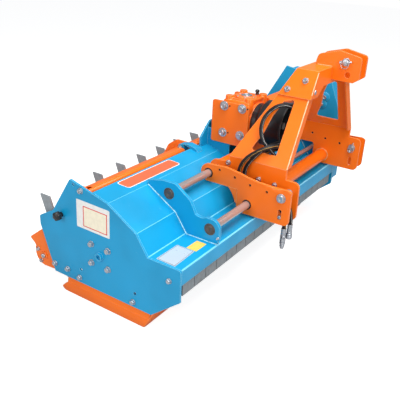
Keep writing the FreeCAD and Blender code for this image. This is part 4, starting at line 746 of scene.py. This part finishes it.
# ---- body: brackets and gearbox
def build_brackets():
    """Welds of the guide rod brackets, the rods' end caps and the grease nipples."""
    bm = bmesh.new()
    foot = [(2, 331.5), (150, 331.5), (207, 412), (348, 497.5)]
    for x in (246.6, 261.4, WIDTH - 14.4):
        weld(bm, [at(x, y, z) for y, z in foot], 2.6)
    # the bracket welds take the pale blue painted highlight
    finish_piece("bracket_welds", bm, "mulcher", BLUE_WELD_HIGHLIGHT, 60)

    bm = bmesh.new()
    for y, z in GUIDE_RODS:
        lathe(bm, at(BRACKET_FACE, y, z), NEAR, [
            (0, 25), (1.6, 25), (2.4, 24.2), (2.4, 20), (1.2, 19), (1.2, 17.6), (3.4, 17),
            (4.2, 16.2), (4.2, 5), (2.6, 2.2), (2.0, 0)], 40)
    finish_piece("rod_ends", bm, "mulcher", ROD_END, 30)

    bm = bmesh.new()
    for x, side in ((BRACKET_FACE, NEAR), (WIDTH, FAR)):
        lathe(bm, at(x, -1, 362), side, [
            (0, 0), (0, 5.5), (3.5, 5.5), (4, 3.4), (9, 3.0), (10, 3.9), (12.5, 3.6), (14, 1.6),
            (14, 0)], 16)
    finish_piece("grease_nipples", bm, "mulcher", ZINC)


GEAR = MAST - 107  # middle of the gearbox
GEAR_SIDES = ((GEAR - 105, NEAR), (GEAR + 105, FAR))  # outer faces of its bolted plates


def block(bm, low, high, edge):
    """Casting's block with rounded edges, between two corners in mm."""
    low, high = at(*low), at(*high)
    made = bmesh.ops.create_cube(bm, size=1.0, matrix=Matrix.Translation((low + high) / 2)
                                 @ Matrix.Diagonal((*(high - low), 1.0)))
    edges = dict.fromkeys(e for v in made["verts"] for e in v.link_edges)
    bmesh.ops.bevel(bm, geom=list(edges), offset=edge / 1000, segments=3, profile=0.5,
                    affect="EDGES", clamp_overlap=True)


def settle(bm):
    """Order the faces alike on each run, which a bevel by itself doesn't."""
    bm.verts.index_update()
    ranked = sorted(bm.faces, key=lambda face: sorted(v.index for v in face.verts))
    for rank, face in enumerate(ranked):
        face.index = rank
    bm.faces.sort()


def build_gearbox_case():
    """Casting with its corner posts, ribs, lid seat, shaft flanges and rear boss."""
    bm = bmesh.new()
    block(bm, (GEAR - 88, 206, 556), (GEAR + 88, 344, 752), 9)
    block(bm, (GEAR - 70, 330, 580), (GEAR + 70, 380, 716), 14)
    for dx in (-66, 66):
        for y in (216, 322):
            lathe(bm, at(GEAR + dx, y, 690), UP, [
                (0, 0), (0, 14), (12, 19), (40, 20), (44, 19.4), (76, 18.6), (79, 16.6),
                (79, 0)], 28)
        block(bm, (GEAR + dx - 8, 226, 744), (GEAR + dx + 8, 312, 760), 3)
    for y in (212, 326):
        block(bm, (GEAR - 56, y - 8, 744), (GEAR + 56, y + 8, 760), 3)
    lathe(bm, at(GEAR, 268, 748), UP, [
        (0, 50), (10, 50), (13, 47), (13, 40), (16, 38), (16, 0)], 48)
    lathe(bm, at(GEAR, 195.5, SHAFT_Z), BACK, [
        (0, 30), (0, 84.5), (8, 85), (10, 83), (10, 74), (22, 74), (26, 66)], 56)
    for a in turns(8, 0.39):
        boss = at(GEAR + 79 * math.cos(a), 195.2, SHAFT_Z + 79 * math.sin(a))
        lathe(bm, boss, BACK, [(0, 0), (0, 6), (16, 6), (18, 0)], 12)
    lathe(bm, at(GEAR, 378, SHAFT_Z), BACK, [(0, 44), (2, 44), (4, 42), (4, 0)], 40)
    for side in (1, -1):
        lathe(bm, at(GEAR - side * 86, 288, SHAFT_Z), (-side, 0, 0), [
            (0, 60), (6, 58), (8, 56), (8, 0)], 40)
    settle(bm)
    case = finish_piece("gearbox_case", bm, "mulcher", CAST, 35)
    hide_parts("gearbox_housing")


def build_gearbox_fittings():
    """Bolts, lid, breather, drain plug, and dark discs painted as the shadow in the plates' small
    holes.
    """
    bm = bmesh.new()
    for k, (y, z) in enumerate([(324, 725), (229, 727), (325, 596), (231, 599)]):
        for x, side in GEAR_SIDES:
            bolt(bm, at(x, y, z), side, 27, 0.35 + k * 0.8, 22)
    for a in turns(6, 0.3):
        bolt(bm, at(GEAR + 43.5 * math.cos(a), 268 + 43.5 * math.sin(a), 761), UP, 7, a, 3.4)
    finish_piece("gearbox_bolts", bm, "mulcher", ZINC)

    bm = bmesh.new()
    lathe(bm, at(GEAR, 268, 764), UP, [
        (0, 27), (2.2, 27), (3.2, 26), (3.2, 19), (2.0, 18), (2.0, 9), (3.4, 8), (3.4, 0)], 40)
    finish_piece("gearbox_lid_disc", bm, "mulcher", ZINC, 30)

    bm = bmesh.new()
    lathe(bm, at(GEAR + 66, 248, 760), UP, [(0, 0), (0, 9.5), (4, 9.5), (5, 8)], 6, 0.3)
    lathe(bm, at(GEAR + 66, 248, 764), UP, [
        (0, 7), (5, 7), (6, 10), (15, 10), (17.5, 8.5), (19, 5), (19.5, 0)], 24)
    lathe(bm, at(GEAR + 60, 379.5, 600), BACK, [(0, 0), (0, 9), (6, 9), (7, 8), (7, 0)], 6, 0.3)
    finish_piece("gearbox_breather", bm, "mulcher", BLACK)

    bm = bmesh.new()
    # painted shadow discs on the plates' small holes
    for y, z in ((296, 728), (201, 730), (297, 599), (203, 600)):
        for x, side in GEAR_SIDES:
            lathe(bm, at(x, y, z), side, [(0, 4.2), (0.25, 4.0), (0.25, 0)], 20)
    finish_piece("gearbox_hole_shadows", bm, "mulcher", HOLE)


def build_input_shaft():
    """Splined end with the groove that the drive shaft's yoke locks in, and the guard's lip."""
    def splines(height, radius, angle):
        cut = (angle * 3 / math.pi + 0.01) % 1 < 0.5
        return 2.6 if cut and height < 79 and radius > 15 else 0

    bm = bmesh.new()
    lathe(bm, at(GEAR, 62, SHAFT_Z), BACK, [
        (0, 0), (0, 15), (1.5, 16.6), (20, 17.4), (22, 14.4), (29, 14.4), (31, 17.4),
        (80, 17.4), (81, 22), (183, 22), (183, 0)], 72, trim=splines)
    shaft = finish_piece("pto_splines", bm, "pto_input", IRON, 25)
    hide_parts("pto_shaft")

    bm = bmesh.new()
    lathe(bm, at(GEAR, 29.8, SHAFT_Z), BACK, [
        (0, 106.5), (0, 110.4), (4, 111.2), (7, 110.6), (7.5, 109.9)], 72)
    finish_piece("guard_lip", bm, "mulcher", PLASTIC, 50)


# ---- headstock
def build_mast():
    """Bolts of the mast, welds in a pale painted highlight colour, and thin rounds along its folds
    painted as highlights.
    """
    bm = bmesh.new()
    for side in (1, -1):
        for k, (y, z) in enumerate([(8, 857), (-61, 899)]):
            bolt(bm, on_leg(side, y, z, 6.4), leg_out(side), 19, 0.4 + k, 13.5)
        bolt(bm, on_leg(side, -98, 868, -20), FRONT, 19, 0.7, 14)
    finish_piece("mast_bolts", bm, "headstock", ZINC)

    bm = bmesh.new()
    for side in (1, -1):
        for (y, z), ring in zip(GUIDE_RODS, (34, 34.5)):
            face = at(MAST - side * (CLEVIS_INNER[0] - 1), y, z)
            circle_weld(bm, face, (side, 0, 0), ring, 3.0)
        x = MAST - side * 42
        weld(bm, [at(x, -38, 945), at(x, -106, 945)], 2.6)
    # the mast welds take the pale orange painted highlight
    finish_piece("mast_welds", bm, "headstock", ORANGE_WELD_HIGHLIGHT, 60)

    # thin rounds along the legs' and cap's front folds, coloured as a painted highlight
    bm = bmesh.new()
    for side in (1, -1):
        sweep(bm, [on_leg(side, -97.2, z, -0.9) for z in (562, 700, 831)], 2.4, 12)
        sweep(bm, [on_leg(side, -107.2, z, 5.6) for z in (848, 900, 936)], 2.0, 12)
    finish_piece("mast_fold_highlights", bm, "headstock", ORANGE_FOLD_HIGHLIGHT, 60)


def build_hitch_fastenings():
    """Plate bolts, heads and linch pins of the lower link pins, and the pins in the slots."""
    bm = bmesh.new()
    for side in (1, -1):
        face = MAST - side * CLEVIS_INNER[1]
        inner = MAST - side * CLEVIS_INNER[0]
        outer = MAST - side * CLEVIS_OUTER[1]
        away, toward = (-side, 0, 0), (side, 0, 0)
        for k, (y, z) in enumerate([(184, 527), (28, 487), (-50, 481)]):
            bolt(bm, at(face, y, z), away, 17, 0.2 + k, 12)
        washer(bm, at(outer, *LOWER_PIN), away, 20.5, 13.8, 3.5)
        lathe(bm, at(outer - side * 12, *LOWER_PIN), away, [
            (-8.5, 14), (-8.5, 17), (-1, 17), (0.6, 16), (1.6, 12.5), (1.6, 7), (0.4, 5.5),
            (0.4, 0)], 32)
        washer(bm, at(face, *LOWER_PIN), away, 18.5, 14.2, 4)
        washer(bm, at(inner, *LOWER_PIN), toward, 18.5, 14.2, 3)
        linch(bm, at(inner + side * 9, *LOWER_PIN), toward, (0, -0.3, 1), 14, 16)
    finish_piece("hitch_bolts", bm, "headstock", ZINC)

    bm = bmesh.new()
    for side in (1, -1):
        lathe(bm, at(MAST - side * 448, -118, 374), (side, 0, 0), [
            (-5.2, 0), (-5.2, 6.6), (-4.6, 7.4), (4.6, 7.4), (5.2, 6.6), (5.2, 0)], 24)
    finish_piece("slot_pins", bm, "headstock", ZINC)


# the outer clevis plates' dipped top edge and the fillet in their inner corner, as (y, z)
DIP = [(-170, 488), (-161, 496), (-152, 502), (-141, 505), (-111, 503.5), (-70, 502), (-7, 505),
       (47, 513), (86, 523), (130, 529), (170, 536)]
CORNER = [(91, 447), (140, 447), (131, 439), (121, 427), (112, 413), (105, 398), (101, 386),
          (91, 378)]


def build_clevis_plates():
    """Outer clevis plates: the CAD plate with its top edge lowered and its corner filled."""
    for name, x_low in (("right", MAST - CLEVIS_OUTER[1]), ("left", MAST + CLEVIS_OUTER[0])):
        node = frame["nodes"]["hitch_plate_" + name + "_outer"]
        bm = bmesh.new()
        bm.from_mesh(node.data)
        bm.transform(node.matrix_world)
        for y, _ in DIP[1:-1]:
            bmesh.ops.bisect_plane(bm, geom=bm.verts[:] + bm.edges[:] + bm.faces[:], dist=1e-6,
                                   plane_co=at(0, y, 0), plane_no=BACK)
        edge = [(at(0, y, 0).y, z / 1000) for y, z in DIP]
        for v in bm.verts:
            for (y0, z0), (y1, z1) in zip(edge, edge[1:]):
                if y0 <= v.co.y <= y1:
                    v.co.z = min(v.co.z, z0 + (z1 - z0) * (v.co.y - y0) / (y1 - y0))
        for face in bm.faces:
            face.material_index = 0
        near, far = [[bm.verts.new(at(x, y, z)) for y, z in CORNER]
                     for x in (x_low, x_low + 10)]
        bm.faces.new(near)
        bm.faces.new(far)
        join_loops(bm, near, far)
        plate = finish_piece("clevis_plate_" + name, bm, "headstock", ORANGE, 30)
        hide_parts("hitch_plate_" + name + "_outer")


def build_plate_shadows():
    """Painted shadow discs in the clevis plates' small holes, and the wiper ring round each rod,
    dark partly as its seal and partly as painted shadow of the gap.
    """
    bm = bmesh.new()
    for x in (-447, 377, 448):
        for y, z in SMALL_HOLES:
            lathe(bm, at(MAST + x, y, z), NEAR, [(0, 0), (0, 6), (1, 6), (1, 0)], 24)
    for x, side in ((MAST - CLEVIS_OUTER[1], NEAR), (MAST + CLEVIS_OUTER[1], FAR)):
        for y, z in GUIDE_RODS:
            lathe(bm, at(x, y, z), side, [
                (0, 17.7), (0, 22.5), (0.8, 22.5), (1.2, 21.5), (1.2, 17.7)], 48)
    finish_piece("plate_shadows", bm, "headstock", HOLE)


def build_top_link_lock():
    """Washers, head and linch pin of the top link pin."""
    bm = bmesh.new()
    for side in (1, -1):
        washer(bm, at(MAST - side * 41, *TOP_PIN), (-side, 0, 0), 17, 12.8, 3)
    lathe(bm, at(MAST - 63, *TOP_PIN), NEAR, [
        (-7, 12.5), (-7, 14.4), (-1, 14.4), (0.5, 13), (1.4, 9), (1.4, 0)], 32)
    lathe(bm, at(MAST + 63, *TOP_PIN), FAR, [
        (-9, 12.5), (-9, 17), (-1, 17), (0.5, 16), (1.2, 12), (1.2, 0)], 32)
    linch(bm, at(MAST - 56, *TOP_PIN), NEAR, (0, -1, 0.15), 12.5, 18)
    finish_piece("top_link_lock", bm, "headstock", ZINC)


# ---- hinge and belt guard
def build_hinge_bolts():
    """Bolts at both ends of the middle hinge of the rear hood."""
    bm = bmesh.new()
    bolt(bm, at(660, *HINGE), NEAR, 17, 0.4, 12)
    bolt(bm, at(711, *HINGE), FAR, 17, 0.9, 12)
    finish_piece("hinge_bolts", bm, "mulcher", ZINC)


def build_guard_fastenings():
    """Screws round the belt guard's rim, and the studs with their dishes behind it."""
    rim = [(320, 796), (215, 778), (110, 760), (55, 687), (16, 588), (7, 480), (7, 340), (7, 215),
           (98, 157), (200, 111), (350, 111), (490, 111), (527, 151), (559, 330), (559, 460),
           (505, 545), (397, 710)]
    studs = [(104, 674), (116, 633)]
    bm = bmesh.new()
    for k, (y, z) in enumerate(rim):
        bolt(bm, at(WIDTH + 6, y, z), FAR, 9, 0.4 * k, 6)
    for y, z in studs:
        bolt(bm, at(WIDTH, y, z), NEAR, 19, 0.3, 13)
    finish_piece("guard_bolts", bm, "mulcher", ZINC)

    bm = bmesh.new()
    for y, z in studs:
        lathe(bm, at(WIDTH - 0.1, y, z), NEAR, [(0, 0), (0, 26), (2, 26), (5, 17), (5, 0)], 32)
    finish_piece("guard_dishes", bm, "mulcher", BLUE)


# ---- hoses
# Control points of the two routes, in metres from the same corner as above.
HOSE_NEAR = [
    (0.670, 0.125, 0.440), (0.670, 0.125, 0.493), (0.697, 0.111, 0.537), (0.744, 0.065, 0.567),
    (0.740, 0.005, 0.600), (0.688, -0.027, 0.632), (0.622, -0.012, 0.644), (0.578, 0.032, 0.624),
    (0.570, 0.088, 0.574), (0.567, 0.109, 0.514), (0.567, 0.094, 0.462), (0.567, 0.057, 0.428),
    (0.567, 0.000, 0.428), (0.567, -0.064, 0.432), (0.567, -0.111, 0.404), (0.567, -0.134, 0.364),
    (0.567, -0.134, 0.318)]
HOSE_FAR = [
    (1.012, 0.125, 0.449), (0.932, 0.125, 0.449), (0.849, 0.118, 0.455), (0.775, 0.097, 0.469),
    (0.716, 0.060, 0.499), (0.686, 0.014, 0.532), (0.672, -0.014, 0.580), (0.634, -0.004, 0.620),
    (0.626, 0.036, 0.655), (0.654, 0.064, 0.704), (0.686, 0.062, 0.754), (0.718, 0.016, 0.802),
    (0.766, -0.034, 0.786), (0.800, -0.047, 0.727), (0.791, -0.029, 0.658), (0.745, 0.012, 0.622),
    (0.683, 0.022, 0.625), (0.640, 0.030, 0.619), (0.604, 0.060, 0.582), (0.594, 0.091, 0.532),
    (0.592, 0.090, 0.480), (0.592, 0.066, 0.441), (0.592, 0.019, 0.428), (0.592, -0.059, 0.454),
    (0.592, -0.121, 0.427), (0.592, -0.150, 0.383), (0.592, -0.150, 0.332)]
HOSE_RADIUS = 8.8
HOSE_SIDES = 36


def smooth_route(points):
    """Points along the NURBS line whose control points these are."""
    data = bpy.data.curves.new("route", "CURVE")
    data.dimensions = "3D"
    data.resolution_u = 10
    line = data.splines.new("NURBS")
    line.points.add(len(points) - 1)
    for knot, (x, y, z) in zip(line.points, points):
        knot.co = (X0 + x, Y0 + y, z, 1)
    line.order_u = 3
    line.use_endpoint_u = True
    route = add_object("route", data)
    bpy.context.view_layer.update()
    mesh = bpy.data.meshes.new_from_object(route)
    path = [v.co.copy() for v in mesh.vertices]
    bpy.data.objects.remove(route, do_unlink=True)
    bpy.data.meshes.remove(mesh)
    return path


# crimped ferrule, neck and quick coupling that hang on each hose's free end
CRIMP = [(0, 9), (1, 11.4), (3, 11.4), (5, 10.4), (9, 10.4), (11, 11.4), (15, 11.4), (17, 10.4),
         (21, 10.4), (23, 11.4), (31, 11.4), (32, 9)]
PLUG = CRIMP + [
    (45, 9), (46, 11), (52, 12.4), (60, 12.4), (61, 9.6), (65, 9.6), (66, 12.4), (74, 12.4),
    (76, 9.2), (79, 9.2), (80, 10.6), (88, 10.6), (91, 8.6), (97.5, 7.6), (97.5, 4), (90, 3.4),
    (90, 0)]
SOCKET = CRIMP + [
    (43, 9), (44, 12.6), (46, 13.8), (50, 13.8), (51, 12.9), (53, 12.9), (54, 13.9), (64, 13.9),
    (66, 12.8), (68, 12.4), (68, 8), (50, 8), (50, 0)]


def build_hose(name, route, profile, stripe, toward):
    """A hose as a cord, its coupling, and the printed line along the side that faces toward."""
    path = smooth_route(route)
    end = path[-1]
    bm = bmesh.new()
    lathe(bm, end, DOWN, [(0, 0)] + profile, 32)
    lathe(bm, end + Vector((0, 0, -0.033)), DOWN, [
        (0, 0), (0, 12), (0.8, 13), (10.2, 13), (11, 12), (11, 0)], 6, 0.3)
    coupling = finish_piece("hose_coupling_" + name, bm, "headstock", ZINC)
    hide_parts("coupling_" + name)

    bm = bmesh.new()
    sweep(bm, path, HOSE_RADIUS, HOSE_SIDES)
    bm.faces.ensure_lookup_table()
    for i, (p, q) in enumerate(zip(path, path[1:])):
        ring = bm.faces[HOSE_SIDES * i:HOSE_SIDES * (i + 1)]
        lay_line = max(ring, key=lambda f: (f.calc_center_median() - (p + q) / 2).dot(toward))
        lay_line.material_index = 1
    hose = finish_piece("hydraulic_hose_" + name, bm, "headstock", [RUBBER, stripe])
    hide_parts("hose_" + name)


def build_hose_fittings():
    """Crimped ends at the cylinder's ports, and the cap on its far end."""
    ferrule = [
        (0, 0), (0, 9.4), (3, 9.4), (4, 10.8), (7, 10.8), (9, 9.9), (13, 9.9), (15, 10.8),
        (18, 10.8), (20, 9.9), (24, 9.9), (26, 10.8), (34, 10.8), (35.5, 9), (35.5, 7.4)]
    bm = bmesh.new()
    for where, along in (((670, 125, 440), UP), ((1012, 125, 449), NEAR)):
        lathe(bm, at(*where) + Vector(along) * 0.009, along, ferrule, 28)
        lathe(bm, at(*where) + Vector(along) * -0.001, along, [
            (0, 0), (0, 12.4), (0.8, 13.4), (9.2, 13.4), (10, 12.4), (10, 0)], 6, 0.2)
    hex_head(bm, at(1040, 125, 457.6), UP, 22, 7, 0.4)
    finish_piece("hose_fittings", bm, "headstock", ZINC)


# ---- camera, floor and light
def set_camera():
    """Camera at the photograph's place, by its right and backward directions."""
    data = bpy.data.cameras.new("camera")
    data.lens = 50.32
    data.sensor_width = 36
    data.clip_end = 100
    camera = add_object("camera", data)
    right = Vector((0.5585, -0.8285, 0.0412)).normalized()
    back = Vector((-0.7625, -0.4932, 0.4188)).normalized()
    upward = back.cross(right).normalized()
    right = upward.cross(back)
    turned = Matrix((right, upward, back)).transposed().to_4x4()
    camera.matrix_world = Matrix.Translation(at(-1413.2, -982.2, 1412.0)) @ turned
    bpy.context.scene.camera = camera


def fresh_nodes(owner, *kinds):
    """Links of a material's or world's emptied node tree, and new nodes of the kinds named."""
    owner.use_nodes = True
    tree = owner.node_tree
    tree.nodes.clear()
    return tree.links, [tree.nodes.new("ShaderNode" + kind) for kind in kinds]


def floor_look():
    """Pale floor: white to the camera, grey to the light, clear from below."""
    mat = bpy.data.materials.new("floor_look")
    links, (out, add, under, clear, facing, pale, glow, rays, level) = fresh_nodes(
        mat, "OutputMaterial", "AddShader", "MixShader", "BsdfTransparent", "NewGeometry",
        "BsdfDiffuse", "Emission", "LightPath", "Math")
    pale.inputs["Color"].default_value = (0.56, 0.56, 0.56, 1)
    level.operation = "MULTIPLY"
    level.inputs[1].default_value = 0.80
    links.new(rays.outputs["Is Camera Ray"], level.inputs[0])
    links.new(level.outputs[0], glow.inputs["Strength"])
    links.new(pale.outputs[0], add.inputs[0])
    links.new(glow.outputs[0], add.inputs[1])
    links.new(facing.outputs["Backfacing"], under.inputs[0])
    links.new(add.outputs[0], under.inputs[1])
    links.new(clear.outputs[0], under.inputs[2])
    links.new(under.outputs[0], out.inputs["Surface"])
    return mat


def set_floor():
    """Square floor just under the skids."""
    size, drop = 14, -0.001
    bm = bmesh.new()
    bm.faces.new([bm.verts.new((x, y, drop)) for x, y in
                  ((-size, -size), (size, -size), (size, size), (-size, size))])
    mesh = bpy.data.meshes.new("floor")
    bm.to_mesh(mesh)
    bm.free()
    mesh.materials.append(floor_look())
    floor = add_object("floor", mesh)


def set_world():
    """Soft sky on the object, plain white behind it."""
    world = bpy.data.worlds.new("studio")
    bpy.context.scene.world = world
    links, (out, mix, soft, white, rays) = fresh_nodes(
        world, "OutputWorld", "MixShader", "Background", "Background", "LightPath")
    soft.inputs["Color"].default_value = (0.93, 0.96, 1.0, 1)
    soft.inputs["Strength"].default_value = 0.32
    white.inputs["Color"].default_value = (1, 1, 1, 1)
    white.inputs["Strength"].default_value = 1.0
    links.new(rays.outputs["Is Camera Ray"], mix.inputs[0])
    links.new(soft.outputs[0], mix.inputs[1])
    links.new(white.outputs[0], mix.inputs[2])
    links.new(mix.outputs[0], out.inputs["Surface"])


def lamp(name, where, aim, size, power):
    """Square soft lamp, in metres and watts, turned to a point."""
    data = bpy.data.lights.new(name, "AREA")
    data.shape = "SQUARE"
    data.size = size
    data.energy = power
    obj = add_object(name, data)
    obj.location = where
    obj.rotation_mode = "QUATERNION"
    obj.rotation_quaternion = (Vector(aim) - Vector(where)).to_track_quat("-Z", "Y")


# ---- build
dress_cad_nodes()
build_side_bolts()
build_latch_grip()
build_side_label()
build_skids()
build_hood()
build_rear_rim()
build_top_labels()
build_brackets()
build_gearbox_case()
build_gearbox_fittings()
build_input_shaft()
build_mast()
build_hitch_fastenings()
build_clevis_plates()
build_plate_shadows()
build_top_link_lock()
build_skid_noses()
build_hinge_bolts()
build_guard_fastenings()
build_hose("near", HOSE_NEAR, PLUG, STRIPE_GOLD, Vector((-0.5, -0.9, 0.4)))
build_hose("far", HOSE_FAR, SOCKET, STRIPE_WHITE, Vector((-0.5, -0.9, 0.1)))
build_hose_fittings()

set_camera()
set_floor()
set_world()
lamp("lamp_top", (-0.3, -0.9, 3.4), (0.0, 0.0, 0.4), 2.2, 120)
lamp("lamp_front", (-2.2, -3.2, 2.2), (0.0, 0.0, 0.5), 1.8, 60)
lamp("lamp_side", (-3.4, 0.6, 1.6), (-0.4, 0.0, 0.4), 1.6, 34)
bpy.context.scene.view_settings.view_transform = "Standard"
